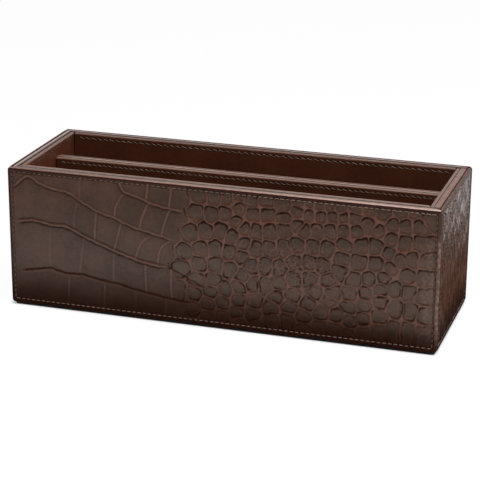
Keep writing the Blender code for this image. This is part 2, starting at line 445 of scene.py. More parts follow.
@dataclass
class Hide:
    """A cut of pressed hide whose scales grow round seeds."""

    scales: Scales
    seed: int
    relief: ScaleRelief = field(default_factory=ScaleRelief)
    wrinkled: float = 0

    def waves(self, u: np.ndarray, v: np.ndarray, length: float, draw: int) -> np.ndarray:
        """Smooth irregular waves of this usual length, by the hide's own seed."""
        return ripple(u, v, length, self.seed + draw)

    def wrinkling(self, u: np.ndarray, v: np.ndarray) -> np.ndarray:
        """How strongly fine wrinkles cross each place."""
        relief = self.relief
        patches = ramp(*relief.wrinkling_from, self.waves(u, v, relief.wrinkling_length, Draw.WRINKLING))
        return np.maximum(relief.wrinkling * patches, self.wrinkled)

    def maps(self, u: np.ndarray, v: np.ndarray) -> HideMaps:
        """Works out the relief, the dye masks and the painted shade.

        Args:
            u: places across.
            v: places up.

        Returns:
            The maps.
        """
        relief = self.relief
        bends = [
            relief.wander * self.waves(u, v, relief.wander_length, Draw.WANDER + way)
            + relief.quiver * self.waves(u, v, relief.quiver_length, Draw.QUIVER + way)
            for way in (0, 1)
        ]
        bent_u, bent_v = u + bends[0], v + bends[1]
        edge, own = self.scales.measure(bent_u, bent_v)
        edge = edge + relief.uneven * self.waves(u, v, relief.uneven_length, Draw.UNEVEN)
        dice = np.random.default_rng(self.seed)
        tones = dice.uniform(0, 1, len(self.scales.seeds))
        leans = dice.uniform(-1, 1, (len(tones), 2)) * relief.lean
        smooth = (own >= len(tones) - self.scales.plain).astype(float)
        off_u, off_v = bent_u - self.scales.seeds[own, 0], bent_v - self.scales.seeds[own, 1]
        up = off_v / np.maximum(np.hypot(off_u, off_v), TINY)
        high = ramp(*relief.turnover, v)
        # lit turns from 1 high up to -1 at the foot, and picks the edge of each scale where shade is painted:
        # the upper edge high up, the lower edge near the foot
        lit = 2 * high - 1

        # The ridge between scales, the groove inside it and the bowl inside that
        ridge = 1 - ramp(relief.ridge_inner, relief.ridge_outer, edge)
        # lip: how strongly the groove is pressed and painted in shade, most on the edge that lit picks
        lip = relief.groove_least + (1 - relief.groove_least) * ramp(*relief.lip_from, up * lit)
        nips = ramp(*relief.nip_from, self.waves(u, v, relief.nip_length, Draw.NIPS))
        lip = np.maximum(lip, relief.nip * nips * (1 - lit**2))
        groove = hump(relief.groove_at, relief.groove_width, edge) * lip
        bowl = ramp(0, relief.bowl_reach, edge)
        slant = (1 - smooth) * bowl * (leans[own, 0] * off_u + leans[own, 1] * off_v)
        drop = (1 - ridge) * relief.rest_drop + slant
        dish, cushion = high * relief.dish_drop * bowl, (1 - high) * relief.cushion_drop * (1 - bowl)
        drop += (1 - smooth) * (dish + cushion)
        drop += relief.groove_depth * groove

        # Wrinkles, and a second line inside some ridges
        beside_line = crackle(bent_u, bent_v, relief.wrinkle_size, self.seed + Draw.WRINKLES)
        beside_line = beside_line / relief.wrinkle_width
        wrinkling = self.wrinkling(u, v) * (1 - relief.calm * smooth)
        lines = (1 - ramp(0, 1, beside_line)) * wrinkling
        # nick: shade painted beside the wrinkles
        nick = relief.wrinkle_shade * hump(relief.nick_at, relief.nick_width, beside_line) * wrinkling
        patches = ramp(*relief.patch_from, self.waves(u, v, relief.patch_length, Draw.PATCHES)) * (1 - smooth)
        echo = relief.echo * patches * hump(relief.echo_at, relief.echo_width, edge)
        lines = np.maximum(lines, echo) * (1 - ridge)
        drop += (1 - ridge) * relief.crumple * self.waves(u, v, relief.crumple_length, Draw.CRUMPLE)
        drop = np.maximum(drop - relief.wrinkle_rise * lines, 0)

        # The colours: the dye, and the shade painted into the grooves, beside the wrinkles and in the hollows
        tone = tones[own] * (1 - smooth) + 0.5 * smooth
        even, varied = relief.worn_shares
        worn = even + varied * self.waves(u, v, relief.worn_length, Draw.WORN)
        ridge = np.maximum(ridge * worn, relief.wrinkle_dye * lines)
        even, varied = relief.heart_shares
        heart = ramp(*relief.heart, edge) * (1 - smooth) * (even + varied * tones[own])
        # hollow: shade painted inside each scale, on the side that faces away from the light, darkest near
        # the foot
        hollow = relief.low_hollow_shade + (relief.top_hollow_shade - relief.low_hollow_shade) * high
        even, varied = relief.hollow_shares
        hollow = hollow * bowl * (even + varied * up * lit) * abs(lit) * (1 - smooth)
        # dull: the grooves and nicks, which lose their gloss; shade: these and the hollows, the painted shade
        # in the colour
        dull = np.maximum(relief.groove_dull * groove, nick) * (1 - ridge)
        shade = np.maximum(dull, hollow * (1 - ridge))
        return HideMaps(drop, ridge, shade, dull, tone, smooth, heart)


@dataclass(frozen=True)
class FoldProfile:
    """A fold's section, as (offset to its left side, strength) of each ridge and each groove in it."""

    ridges: tuple[tuple[float, float], ...]
    grooves: tuple[tuple[float, float], ...]
    bed: float = 0.5


class Fold(Enum):
    """The kinds of fold between the large belly scales."""

    ROLL = FoldProfile(((0, 1.0),), ((1.3 * MM, 0.35), (-1.3 * MM, 0.85)), 1.0)
    DOUBLE_ROLL = FoldProfile(((0, 1.0),), ((1.5 * MM, 0.75), (-1.3 * MM, 1.0)), 1.0)
    STEP = FoldProfile(((-1.5 * MM, 0.6),), ((0, 1.3),), 1.0)
    CUT = FoldProfile((), ((0, 1.1),), 0.8)
    SEAM = FoldProfile(((0, 0.9),), ((1.1 * MM, 0.3), (-1.1 * MM, 0.3)), 0.5)
    FAINT = FoldProfile(((0, 0.45),), ((1.1 * MM, 0.12),), 0.3)


@dataclass(frozen=True)
class Crease:
    """A fold and its line, from left to right or from top to bottom, in pixels of the photograph."""

    fold: Fold
    line: tuple[Pixel, ...]


FRONT_CREASES = (
    Crease(Fold.ROLL, (
        (6, 190), (14.5, 185.6), (24.5, 176), (30.1, 176.4), (37.9, 182.9), (46.8, 187.3), (56.9, 190.1),
        (65.8, 191.8), (72.5, 195.1), (79.2, 200.7), (88.1, 206.3), (99.3, 213), (110.5, 216.3),
        (119.4, 220.8), (130.5, 226.4), (143.9, 230.9), (160.7, 236.4), (176, 241.5),
    )),
    Crease(Fold.DOUBLE_ROLL, (
        (14, 222), (22.3, 220.8), (32.3, 219.7), (43.5, 223), (54.6, 225.8), (63.6, 225.8), (72.5, 229.7),
        (81.4, 235.3), (92.6, 240.9), (104.9, 246.5), (116, 252), (127.2, 256.5), (138.4, 261),
        (149.5, 264.3), (160.7, 266.6), (170, 268),
    )),
    Crease(Fold.CUT, ((166, 267), (174, 270.4), (181, 274.2), (190, 280.5), (205, 288.4))),
    Crease(Fold.STEP, (
        (18, 270), (32.3, 269.4), (50.2, 267.1), (58, 270.5), (65.8, 273), (73.6, 273.8), (81.4, 273.8),
        (88.1, 276), (97, 278.9), (108.2, 281.6), (119.4, 283.9), (132.8, 288.9), (149.5, 293.4),
        (166.3, 297.8), (179.7, 301.2), (196, 303),
    )),
    Crease(Fold.ROLL, (
        (115, 177), (119, 184), (122.7, 192.2), (128.3, 194), (138.4, 197.4), (149.5, 203.5),
        (160.7, 206.9), (171.8, 209.6), (183, 212),
    )),
    Crease(Fold.SEAM, ((122.2, 195), (117.2, 203), (114.4, 209.6), (114.4, 217))),
    Crease(Fold.SEAM, ((148.4, 203), (143.4, 213), (140, 223), (139.5, 229))),
    Crease(Fold.SEAM, ((170.7, 208.5), (166.3, 216.3), (162.9, 227.5), (160.7, 236))),
    Crease(Fold.SEAM, ((147.5, 183), (147, 190), (145.6, 200))),
    Crease(Fold.SEAM, ((171, 185), (170.3, 195), (168.6, 208))),
    Crease(Fold.FAINT, ((80.3, 175), (78.6, 187), (79.2, 199))),
    Crease(Fold.FAINT, ((77, 201), (74.2, 214), (73.6, 229))),
    Crease(Fold.SEAM, ((96, 212), (94.8, 227), (94.3, 241))),
    Crease(Fold.SEAM, ((121, 222), (117.7, 236), (113.6, 251))),
    Crease(Fold.SEAM, ((151, 236), (142.8, 240), (138, 249), (135, 259))),
    Crease(Fold.SEAM, ((171, 241), (161.8, 245.4), (158.5, 254), (157.3, 265))),
    Crease(Fold.FAINT, ((50.7, 225), (49.6, 243), (50.2, 266))),
    Crease(Fold.FAINT, ((83.7, 237), (81.4, 256), (79.8, 273))),
    Crease(Fold.FAINT, ((114.4, 252), (113.2, 267), (113.8, 282))),
    Crease(Fold.SEAM, ((145, 263), (145.6, 277), (146.2, 292))),
    Crease(Fold.SEAM, ((170.7, 268), (170.7, 282), (171.8, 299))),
    Crease(Fold.SEAM, ((187.5, 279), (186.3, 290), (188.6, 302))),
    Crease(Fold.SEAM, ((69.2, 275), (68.8, 290), (68.4, 307))),
    Crease(Fold.SEAM, ((104.9, 282), (104.6, 296), (104, 311))),
    Crease(Fold.FAINT, ((136, 291), (135.8, 303), (135.4, 315))),
    Crease(Fold.SEAM, ((166.3, 299), (165.8, 309), (165, 319))),
)

# The middle of each round scale on the front's right part, row by row from the top
FRONT_SCALES = (
    (
        (198, 195), (214.5, 197), (227.7, 198.5), (238, 197), (250.6, 201), (266.7, 200.6), (282.2, 205),
        (299.4, 202.5), (309, 203.5), (320, 205.4), (330, 206), (341, 207.5), (355, 208), (370, 209.5),
        (384, 214.5), (401.6, 212), (415, 212.5), (428, 219),
    ),
    (
        (196.7, 212.1), (211.6, 214.4), (225.4, 213.8), (238.6, 208.5), (252.9, 214.4), (267.3, 215),
        (284, 219), (299.4, 211.5), (308, 214.5), (321, 217), (332.4, 216.5), (344, 217.5), (353.5, 218),
    ),
    (
        (236.3, 222.4), (284, 228.5), (298.3, 226), (303.5, 230.5), (316.7, 230.8), (330.1, 230.2),
        (344.1, 230.5), (355.3, 231.5), (368.1, 225.2), (379.3, 230.8), (392, 225.5), (405.5, 226.9),
        (419.3, 225.8),
    ),
    (
        (189.8, 232.7), (205.9, 231.6), (220.8, 230.4), (232.3, 236.2), (243.7, 229.3), (255.2, 232.2),
        (269.6, 231.6),
    ),
    (
        (184, 252.3), (201.8, 249.4), (215, 249.4), (229.4, 252.3), (243.7, 243.1), (255.2, 248.8),
        (270.2, 248.8), (283.4, 247.7), (297.7, 245.4), (312.3, 246.5), (326.8, 249.2), (344.7, 246.2),
        (361, 246), (376.8, 247), (391.5, 239.2), (404.4, 243.6), (420.6, 244.8),
    ),
    (
        (182, 267), (199, 264.3), (215, 264.9), (230, 270), (242.6, 257.2), (250.6, 266), (265.6, 266),
        (278.2, 269), (295.4, 262.8), (309.5, 263), (322.3, 265.5), (341.5, 258.5), (359, 262.8),
        (377, 264.6), (388.2, 254), (399.4, 261.5), (413.5, 259.5), (424.5, 261),
    ),
    (
        (197.2, 279.8), (212.7, 279.8), (241.5, 276), (252.4, 284.4), (265, 286), (278.2, 284),
        (293.1, 279.8), (310, 279.4), (327.5, 281.2), (339.1, 271.8), (353.6, 280.2), (369.2, 279.4),
        (383.7, 278.2), (390.8, 268.4), (407.2, 276.5), (424.5, 279),
    ),
    (
        (194.5, 293), (210.4, 291.8), (225.4, 290.5), (238.5, 288), (276, 297), (292, 296), (315.6, 292.8),
        (332, 293), (350.2, 294.5), (364.8, 293.6), (380.4, 290.5), (393.8, 289), (408.3, 292.5),
        (424, 297),
    ),
    (
        (193.2, 309), (208.1, 304.5), (221.9, 303.5), (238, 299.8), (254, 302), (270, 309), (288.5, 307.5),
        (307.8, 304.5), (327.9, 302), (349.1, 308), (363.6, 306.2), (380.4, 302.5), (394.9, 309),
        (410.5, 311.7), (423.5, 316),
    ),
    (
        (208, 317.5), (222, 316.6), (235.7, 313.5), (252, 315), (271.3, 321.5), (287, 319.5), (302.5, 317),
        (321, 313.5), (336, 315.6), (349.8, 321.5), (362.5, 319), (378.2, 317.6),
    ),
    (
        (238, 325), (254.5, 327.5), (303, 330), (320, 327.5), (334, 330), (348, 335), (363.6, 334),
        (378.2, 332), (392.6, 330.7), (407.5, 332.5), (422.5, 335),
    ),
)

# Where the scales are creased together most
CREASED_MIDDLE = (300, 268)

# Plain seeds in the belly, which bound the round scales beside it
FRONT_BELLY = (
    (181, 198), (178, 218), (170, 235), (166, 252), (159, 268), (178, 290), (178, 309), (193, 328),
    (150, 230), (150, 290), (120, 210), (120, 260), (80, 240), (40, 210), (40, 260),
)


@dataclass
class FrontHide(Hide):
    """The front's hide: large belly scales between long folds on the left, and round scales on the right."""

    folds: tuple[tuple[Fold, np.ndarray], ...] = ()
    creased_at: tuple[float, float] = (0, 0)
    creased_reach: tuple[float, float] = (42 * MM, 20 * MM)
    ridge_width: float = 0.62 * MM
    groove_width: float = 0.5 * MM
    groove_depth: float = 0.50 * MM
    bed_width: float = 3.0 * MM
    bed_depth: float = 0.34 * MM
    reach: float = 9 * MM
    # cast: a shadow painted below each fold, and where it reaches
    cast: float = 0.32
    cast_reach: tuple[float, float] = (-8.5 * MM, -1.2 * MM)
    hatch: float = 0.7
    hatch_pitch: float = 1.9 * MM
    hatch_width: float = 1.8 * MM
    hatch_from: tuple[float, float] = (0.1, 0.6)
    stripe_from: tuple[float, float] = (0.2, 0.9)
    stripe_sway: float = 2.0
    sway_length: float = 16 * MM
    bend: float = 0.3 * MM
    bend_length: float = 6 * MM
    creased_width: float = 0.8
    end_share: float = 0.06
    bed_share: float = 0.4
    ridge_share: float = 0.9

    def wrinkling(self, u: np.ndarray, v: np.ndarray) -> np.ndarray:
        """How strongly fine wrinkles cross each place: most where the scales are creased together."""
        (middle_u, middle_v), (reach_u, reach_v) = self.creased_at, self.creased_reach
        away = np.hypot((u - middle_u) / reach_u, (v - middle_v) / reach_v)
        return np.maximum(super().wrinkling(u, v), hump(0, self.creased_width, away))

    def maps(self, u: np.ndarray, v: np.ndarray) -> HideMaps:
        """Works out the relief, the dye masks and the painted shade.

        Args:
            u: places across.
            v: places up.

        Returns:
            The maps.
        """
        maps = super().maps(u, v)
        bent_v = v + self.bend * self.waves(u, v, self.bend_length, Draw.BEND)
        sway = self.waves(u, v, self.sway_length, Draw.SWAY)
        for fold, line in self.folds:
            profile = fold.value
            low, high = line.min(0) - self.reach, line.max(0) + self.reach
            near = (u > low[0]) & (u < high[0]) & (bent_v > low[1]) & (bent_v < high[1])
            side, share = beside(line, u[near], bent_v[near])
            fade = ramp(0, self.end_share, share) * ramp(1, 1 - self.end_share, share)
            ridge = sum(power * hump(offset, self.ridge_width, side) for offset, power in profile.ridges)
            groove = sum(power * hump(offset, self.groove_width, side) for offset, power in profile.grooves)
            bed = profile.bed * hump(0, self.bed_width, side)
            ridge, groove, bed = (np.broadcast_to(fade * part, side.shape) for part in (ridge, groove, bed))
            # The fold's ridge takes the lighter ridge colour, partly a painted highlight along the roll
            maps.ridge[near] = np.maximum(maps.ridge[near], ridge)
            turns = math.tau * share * span(line) / self.hatch_pitch
            stripes = ramp(*self.stripe_from, np.sin(turns + self.stripe_sway * sway[near]))
            hatch = self.hatch * stripes * ramp(*self.hatch_from, sway[near])
            hatch = hatch * hump(0, self.hatch_width, side) * fade
            # A shadow painted below the fold, and shade painted in its grooves; the hatch is the fold's own
            # dark strokes
            cast = self.cast * profile.bed * fade * ramp(*self.cast_reach, side) * (side < 0)
            maps.shade[near] = np.maximum(maps.shade[near], np.maximum(np.maximum(groove, hatch), cast))
            maps.dull[near] = np.maximum(maps.dull[near], groove)
            sink = self.bed_depth * bed + self.groove_depth * groove
            drop = np.maximum(maps.drop[near] + bed * self.bed_share * self.bed_depth, sink)
            maps.drop[near] = drop * (1 - self.ridge_share * ridge)
        return maps


def beside(line: np.ndarray, u: np.ndarray, v: np.ndarray) -> tuple[np.ndarray, np.ndarray]:
    """Measures places from a line.

    Args:
        line: its points, a row of (u, v) each.
        u: places across.
        v: places up.

    Returns:
        The distance, positive on the line's left side, and the share of the way along the line.
    """
    runs = np.diff(line, axis=0)
    lengths = np.hypot(*runs.T)
    starts = np.concatenate(((0,), np.cumsum(lengths)))
    best = np.full(u.shape, np.inf)
    side = np.zeros(u.shape)
    share = np.zeros(u.shape)
    for (from_u, from_v), (run_u, run_v), length, start in zip(line, runs, lengths, starts):
        along = ((u - from_u) * run_u + (v - from_v) * run_v) / length**2
        held = np.clip(along, 0, 1)
        off_u = u - from_u - held * run_u
        off_v = v - from_v - held * run_v
        distance = np.hypot(off_u, off_v)
        closer = distance < best
        best = np.where(closer, distance, best)
        side = np.where(closer, np.sign(run_u * off_v - run_v * off_u), side)
        share = np.where(closer, (start + held * length) / starts[-1], share)
    return best * side, share


def span(line: np.ndarray) -> float:
    """How long a line is."""
    return float(np.hypot(*np.diff(line, axis=0).T).sum())


def smoothed(line: np.ndarray, rounds: int = 2) -> np.ndarray:
    """Cuts the corners off a line, keeping its ends.

    Args:
        line: its points.
        rounds: how many times.

    Returns:
        The smoother line's points.
    """
    for _ in range(rounds):
        near = 0.75 * line[:-1] + 0.25 * line[1:]
        far = 0.25 * line[:-1] + 0.75 * line[1:]
        inner = np.stack((near, far), 1).reshape(-1, 2)
        line = np.concatenate((line[:1], inner[1:-1], line[-1:]))
    return line


def front_hide(stand: Stand, seed: int, camera: PhotoCamera) -> FrontHide:
    """Lays the photograph's scales on the front cover.

    Args:
        stand: where the cover stands.
        seed: chooses how the scales vary.
        camera: the photograph's camera.

    Returns:
        The hide.
    """

    def on_panel(places: Sequence[Pixel]) -> np.ndarray:
        """Carries pixels to the cover's own frame."""
        return camera.on_upright(places, stand.corner.y) - (stand.corner.x, stand.corner.z)

    middles = [place for row in FRONT_SCALES for place in row]
    scales = Scales(on_panel([*middles, *FRONT_BELLY]), plain=len(FRONT_BELLY))
    folds = tuple((crease.fold, smoothed(on_panel(crease.line))) for crease in FRONT_CREASES)
    creased = on_panel([CREASED_MIDDLE])[0]
    return FrontHide(scales, seed, folds=folds, creased_at=tuple(creased))


@dataclass(frozen=True)
class ScaleLayout:
    """Rows of scales: their widths at the left and right, the rows' height and sway, and their relief.

    The first scale starts first_shares of its width outside, and the width turns within turn_shares of
    the way along.
    """

    left: float
    right: float
    row: float
    sway: float
    stretch: tuple[float, float] = (1, 1)
    unevenness: float = 0.22
    relief: ScaleRelief = field(default_factory=ScaleRelief)
    wrinkled: float = 0
    first_shares: tuple[float, float] = (0.6, 1.4)
    turn_shares: tuple[float, float] = (0.35, 0.9)
    waves: float = 0.9


class HideCut(Enum):
    """The cuts of hide on the walls that the photograph hides or hardly shows."""

    BELLY_TO_FLANK = ScaleLayout(8.5 * MM, 25 * MM, 10.5 * MM, 7 * MM)
    BELLY = ScaleLayout(20 * MM, 15 * MM, 13 * MM, 3 * MM, unevenness=0.12)
    WRINKLED_FLANK = ScaleLayout(
        11 * MM, 10 * MM, 30 * MM, 9 * MM, stretch=(2.6, 1), unevenness=0.3, wrinkled=1.0,
        relief=ScaleRelief(
            wrinkle_size=(4.6 * MM, 24 * MM), wrinkle_width=0.20, wrinkle_rise=0.42 * MM,
            wander=0.8 * MM, lean=0.012, dish_drop=0.10 * MM, groove_depth=0.30 * MM, top_hollow_shade=0.1,
            low_hollow_shade=0.1, crumple=0.14 * MM, crumple_length=3.0 * MM,
        ),
    )

    def lay(self, stand: Stand, seed: int) -> Hide:
        """Lays the cut on a cover.

        Args:
            stand: where the cover stands.
            seed: chooses how the scales vary.

        Returns:
            The hide.
        """
        layout = self.value
        dice = np.random.default_rng(seed)
        seeds = []
        for index in range(-1, int(stand.height / layout.row) + 2):
            u = -layout.left * dice.uniform(*layout.first_shares)
            while u < stand.width + layout.right:
                share = min(max(u / stand.width, 0), 1)
                turned = float(ramp(*layout.turn_shares, np.array(share)))
                wide = layout.left + (layout.right - layout.left) * turned
                wave = layout.sway * math.sin(math.tau * share * layout.waves + seed)
                jitter = dice.uniform(-1, 1, 2) * layout.unevenness
                seeds.append((u + jitter[0] * wide, (index + 0.5 + jitter[1]) * layout.row + wave))
                u += wide * (1 + layout.unevenness * dice.uniform(-1, 1))
        scales = Scales(np.array(seeds), stretch=layout.stretch)
        return Hide(scales, seed, layout.relief, layout.wrinkled)


# Stitches


@dataclass(frozen=True)
class Sewing:
    """A way of sewing: the spacing and length of the stitches, their lean, and how the thread lies."""

    pitch: float
    length: float
    radius: float
    lean: float
    rest: float
    bow: float
    sink: float

    def count(self, length: float) -> int:
        """How many stitches fill a row of this length."""
        return max(1, round(length / self.pitch))


OUTER_SEWING = Sewing(3.6 * MM, 2.7 * MM, 0.36 * MM, 0, -0.44 * MM, 0.07 * MM, 0.30 * MM)
FACING_SEWING = Sewing(3.8 * MM, 3.8 * MM, 0.28 * MM, -math.radians(20), -0.16 * MM, 0.16 * MM, 0.25 * MM)
LINING_SEWING = Sewing(4.45 * MM, 4.3 * MM, 0.28 * MM, -math.radians(20), -0.16 * MM, 0.16 * MM, 0.25 * MM)


@dataclass
class StitchWork:
    """All the stitches of one panel, gathered into one piece."""

    name: str
    stand: Stand
    sewing: Sewing
    rings: int = 9
    sides: int = 8
    taper: float = 0.55
    points: list = field(default_factory=list)
    faces: list = field(default_factory=list)
    # How much painted light each point's stitch takes
    lit_shares: list = field(default_factory=list)

    def sew_row(self, start: Spot, end: Spot, lit_shares: tuple[float, float] = (1, 1)) -> None:
        """Sews a row.

        Args:
            start: (u, v) of the first hole.
            end: (u, v) of the last hole.
            lit_shares: how much painted light its thread takes at each end, from 0 to 1.
        """
        start, end = np.array(start), np.array(end)
        run = end - start
        length = np.hypot(*run)
        count = self.sewing.count(length)
        heading = math.atan2(run[1], run[0]) + self.sewing.lean
        for index in range(count):
            self.sew(start + run * (index + 0.5) / count, np.array((math.cos(heading), math.sin(heading))))
        self.lit_shares += np.repeat(np.linspace(*lit_shares, count), self.rings * self.sides).tolist()

    def sew(self, middle: np.ndarray, along: np.ndarray) -> None:
        """Lays one stitch, a rod of thread that rises from its hole and goes down into the next.

        Args:
            middle: (u, v) of its middle.
            along: the way it runs.
        """
        sewing = self.sewing
        aside = np.array((-along[1], along[0]))
        first = sum(len(part) for part in self.points)
        angles = np.arange(self.sides) / self.sides * math.tau
        for share in np.linspace(-1, 1, self.rings):
            radius = sewing.radius * (1 - self.taper * abs(share) ** 3)
            spot = middle + along * share * sewing.length / 2
            level = sewing.rest + sewing.bow * (1 - share**2) - sewing.sink * share**6
            u = spot[0] + aside[0] * radius * np.cos(angles)
            v = spot[1] + aside[1] * radius * np.cos(angles)
            self.points.append(self.stand.place(u, v, level + radius * np.sin(angles)))
        for ring in range(self.rings - 1):
            low = first + ring * self.sides
            for side in range(self.sides):
                near, far = low + side, low + (side + 1) % self.sides
                self.faces.append((near, far, far + self.sides, near + self.sides))
        last = first + (self.rings - 1) * self.sides
        self.faces.append(tuple(range(first + self.sides - 1, first - 1, -1)))
        self.faces.append(tuple(range(last, last + self.sides)))

    def make(self, material: Material, slot: str) -> bpy.types.Object:
        """Turns the stitches into a piece.

        Args:
            material: the thread.
            slot: the record's material slot it is sewn on; not used.

        Returns:
            The piece.
        """
        piece = piece_from(self.name, np.concatenate(self.points), self.faces, material)
        carry(piece, "light", np.array(self.lit_shares))
        return piece


# Shader graphs

# How high the grain's pits and tops lie
GRAIN_HEIGHTS = (0.2, 0.9)


class Graph:
    """A node tree under construction."""

    def __init__(self, tree: NodeTree) -> None:
        """Starts on a tree."""
        self.tree = tree

    def node(self, kind: str, inputs: dict | None = None, **settings: object) -> Node:
        """Adds a node.

        Args:
            kind: its type, without the leading ShaderNode.
            inputs: a value or a socket to link for each input, by name or number.
            settings: the node's own settings.

        Returns:
            The node.
        """
        node = self.tree.nodes.new("ShaderNode" + kind)
        for name, value in settings.items():
            setattr(node, name, value)
        for key, value in (inputs or {}).items():
            if isinstance(value, Socket):
                self.tree.links.new(value, node.inputs[key])
            elif isinstance(value, tuple) and len(value) == 3 and node.inputs[key].type == "RGBA":
                node.inputs[key].default_value = (*value, 1)
            else:
                node.inputs[key].default_value = value
        return node

    def mix(self, share: Socket | float, low: Socket | Colour, high: Socket | Colour) -> Socket:
        """Mixes two colours.

        Args:
            share: how much of the second.
            low: the first colour.
            high: the second colour.

        Returns:
            The mixed colour's socket.
        """
        inputs = {0: share, 6: low, 7: high}
        return self.node("Mix", inputs, data_type="RGBA", clamp_factor=True).outputs[2]

    def calc(self, how: str, first: Socket | float, second: Socket | float) -> Socket:
        """Works out one value from two, by Blender's name for the operation."""
        return self.node("Math", {0: first, 1: second}, operation=how).outputs[0]

    def spread(self, value: Socket, low: float, high: float, to_low: float = 0, to_high: float = 1) -> Socket:
        """Maps a value from one range to another, and holds it there."""
        inputs = {"Value": value, "From Min": low, "From Max": high, "To Min": to_low, "To Max": to_high}
        return self.node("MapRange", inputs, clamp=True).outputs[0]

    def noise(
        self, vector: Socket, scale: Socket | float, detail: float = 3, roughness: float = 0.55
    ) -> Socket:
        """Cloudy noise over the surface, about 0.5 on average."""
        inputs = {"Vector": vector, "Scale": scale, "Detail": detail, "Roughness": roughness}
        return self.node("TexNoise", inputs).outputs[0]


@dataclass(frozen=True)
class GroupSocket:
    """A socket of a node group."""

    name: str
    kind: str = "NodeSocketFloat"
    output: bool = False


class Effects:
    """Node groups for what several finishes share, each built once."""

    # Grain: its warp, its cushions' edge, its pores and fine noise, and what each adds to the height
    WARP = {"Scale": 900.0, "Detail": 2.0}
    WARP_REACH = 0.0006
    CUSHION_EDGE = 0.28
    PORE_SPACING = 0.7
    FINE_SCALE = 2.5
    CUSHIONS, FINE, PORES = 0.6, 0.5, 0.6

    # Clouds of dye: the scale, the detail and the share of each size, and where they start and are full
    CLOUDS = ((1.0, 2.0, 0.50), (7.0, 4.0, 0.28), (20.0, 2.0, 0.22))
    CLOUD_EDGE = (0.38, 0.62)

    # Rubs: the scale, detail and roughness of their noise, and where they start and are full
    RUBS = (180.0, 5.0, 0.65)
    RUB_EDGE = (0.42, 0.62)

    def __init__(self) -> None:
        """Builds the groups."""
        self.grain = self.build_grain()
        self.drift = self.build_drift()
        self.wear = self.build_wear()

    @staticmethod
    def group(name: str, sockets: Sequence[GroupSocket]) -> tuple[Graph, Node, Node]:
        """Starts a node group.

        Args:
            name: its name.
            sockets: its sockets.

        Returns:
            Its graph, its input node and its output node.
        """
        tree = bpy.data.node_groups.new(name, "ShaderNodeTree")
        for socket in sockets:
            way = "OUTPUT" if socket.output else "INPUT"
            tree.interface.new_socket(socket.name, in_out=way, socket_type=socket.kind)
        return Graph(tree), tree.nodes.new("NodeGroupInput"), tree.nodes.new("NodeGroupOutput")

    def build_grain(self) -> NodeTree:
        """Leather's own grain under any pressing: small cells, pores and fine creases.

        Returns:
            The group. Height is the grain's height and Pores marks its pits.
        """
        sockets = (
            GroupSocket("Place", "NodeSocketVector"), GroupSocket("Scale"), GroupSocket("Pore Size"),
            GroupSocket("Height", output=True), GroupSocket("Pores", output=True),
        )
        graph, given, result = self.group("leather_grain", sockets)
        place, scale = given.outputs["Place"], given.outputs["Scale"]
        warp = graph.node("TexNoise", {"Vector": place, **self.WARP}).outputs[1]
        reach = (self.WARP_REACH,) * 3
        shift = graph.node("VectorMath", {0: warp, 1: reach}, operation="MULTIPLY").outputs[0]
        bent = graph.node("VectorMath", {0: place, 1: shift}, operation="ADD").outputs[0]
        cells = graph.node("TexVoronoi", {"Vector": bent, "Scale": scale}, feature="DISTANCE_TO_EDGE")
        cushions = graph.spread(cells.outputs[0], 0.0, self.CUSHION_EDGE)
        spacing = graph.calc("MULTIPLY", scale, self.PORE_SPACING)
        pores = graph.node("TexVoronoi", {"Vector": place, "Scale": spacing}).outputs[0]
        edge = given.outputs["Pore Size"]
        pits = graph.node("MapRange", {"Value": pores, "From Min": edge, "From Max": 0.0})
        fine = graph.noise(place, graph.calc("MULTIPLY", scale, self.FINE_SCALE))
        raised = graph.calc("MULTIPLY", cushions, self.CUSHIONS)
        height = graph.calc("ADD", raised, graph.calc("MULTIPLY", fine, self.FINE))
        height = graph.calc("SUBTRACT", height, graph.calc("MULTIPLY", pits.outputs[0], self.PORES))
        graph.tree.links.new(height, result.inputs["Height"])
        graph.tree.links.new(pits.outputs[0], result.inputs["Pores"])
        return graph.tree

    def build_drift(self) -> NodeTree:
        """Dye that has taken unevenly, in clouds of three sizes.

        Returns:
            The group. Colour goes from Base to Deep.
        """
        sockets = (
            GroupSocket("Place", "NodeSocketVector"), GroupSocket("Base", "NodeSocketColor"),
            GroupSocket("Deep", "NodeSocketColor"), GroupSocket("Scale"), GroupSocket("Amount"),
            GroupSocket("Colour", "NodeSocketColor", output=True),
        )
        graph, given, result = self.group("dye_drift", sockets)
        total = None
        for times, detail, share in self.CLOUDS:
            scale = graph.calc("MULTIPLY", given.outputs["Scale"], times)
            part = graph.calc("MULTIPLY", graph.noise(given.outputs["Place"], scale, detail), share)
            total = part if total is None else graph.calc("ADD", total, part)
        cloud = graph.calc("MULTIPLY", graph.spread(total, *self.CLOUD_EDGE), given.outputs["Amount"])
        colour = graph.mix(cloud, given.outputs["Base"], given.outputs["Deep"])
        graph.tree.links.new(colour, result.inputs["Colour"])
        return graph.tree

    def build_wear(self) -> NodeTree:
        """Rubbing from hands and paper, strongest at the rim and broken up over the surface.

        Returns:
            The group. Mask is 1 where the surface is rubbed most.
        """
        sockets = (
            GroupSocket("Place", "NodeSocketVector"), GroupSocket("Rim"), GroupSocket("Reach"),
            GroupSocket("Mask", output=True),
        )
        graph, given, result = self.group("handling_wear", sockets)
        height = graph.node("SeparateXYZ", {0: given.outputs["Place"]}).outputs["Z"]
        below = graph.calc("SUBTRACT", given.outputs["Rim"], height)
        near = graph.spread(graph.calc("DIVIDE", below, given.outputs["Reach"]), 1.0, 0.0)
        rubs = graph.spread(graph.noise(given.outputs["Place"], *self.RUBS), *self.RUB_EDGE)
        graph.tree.links.new(graph.calc("MULTIPLY", near, rubs), result.inputs["Mask"])
        return graph.tree


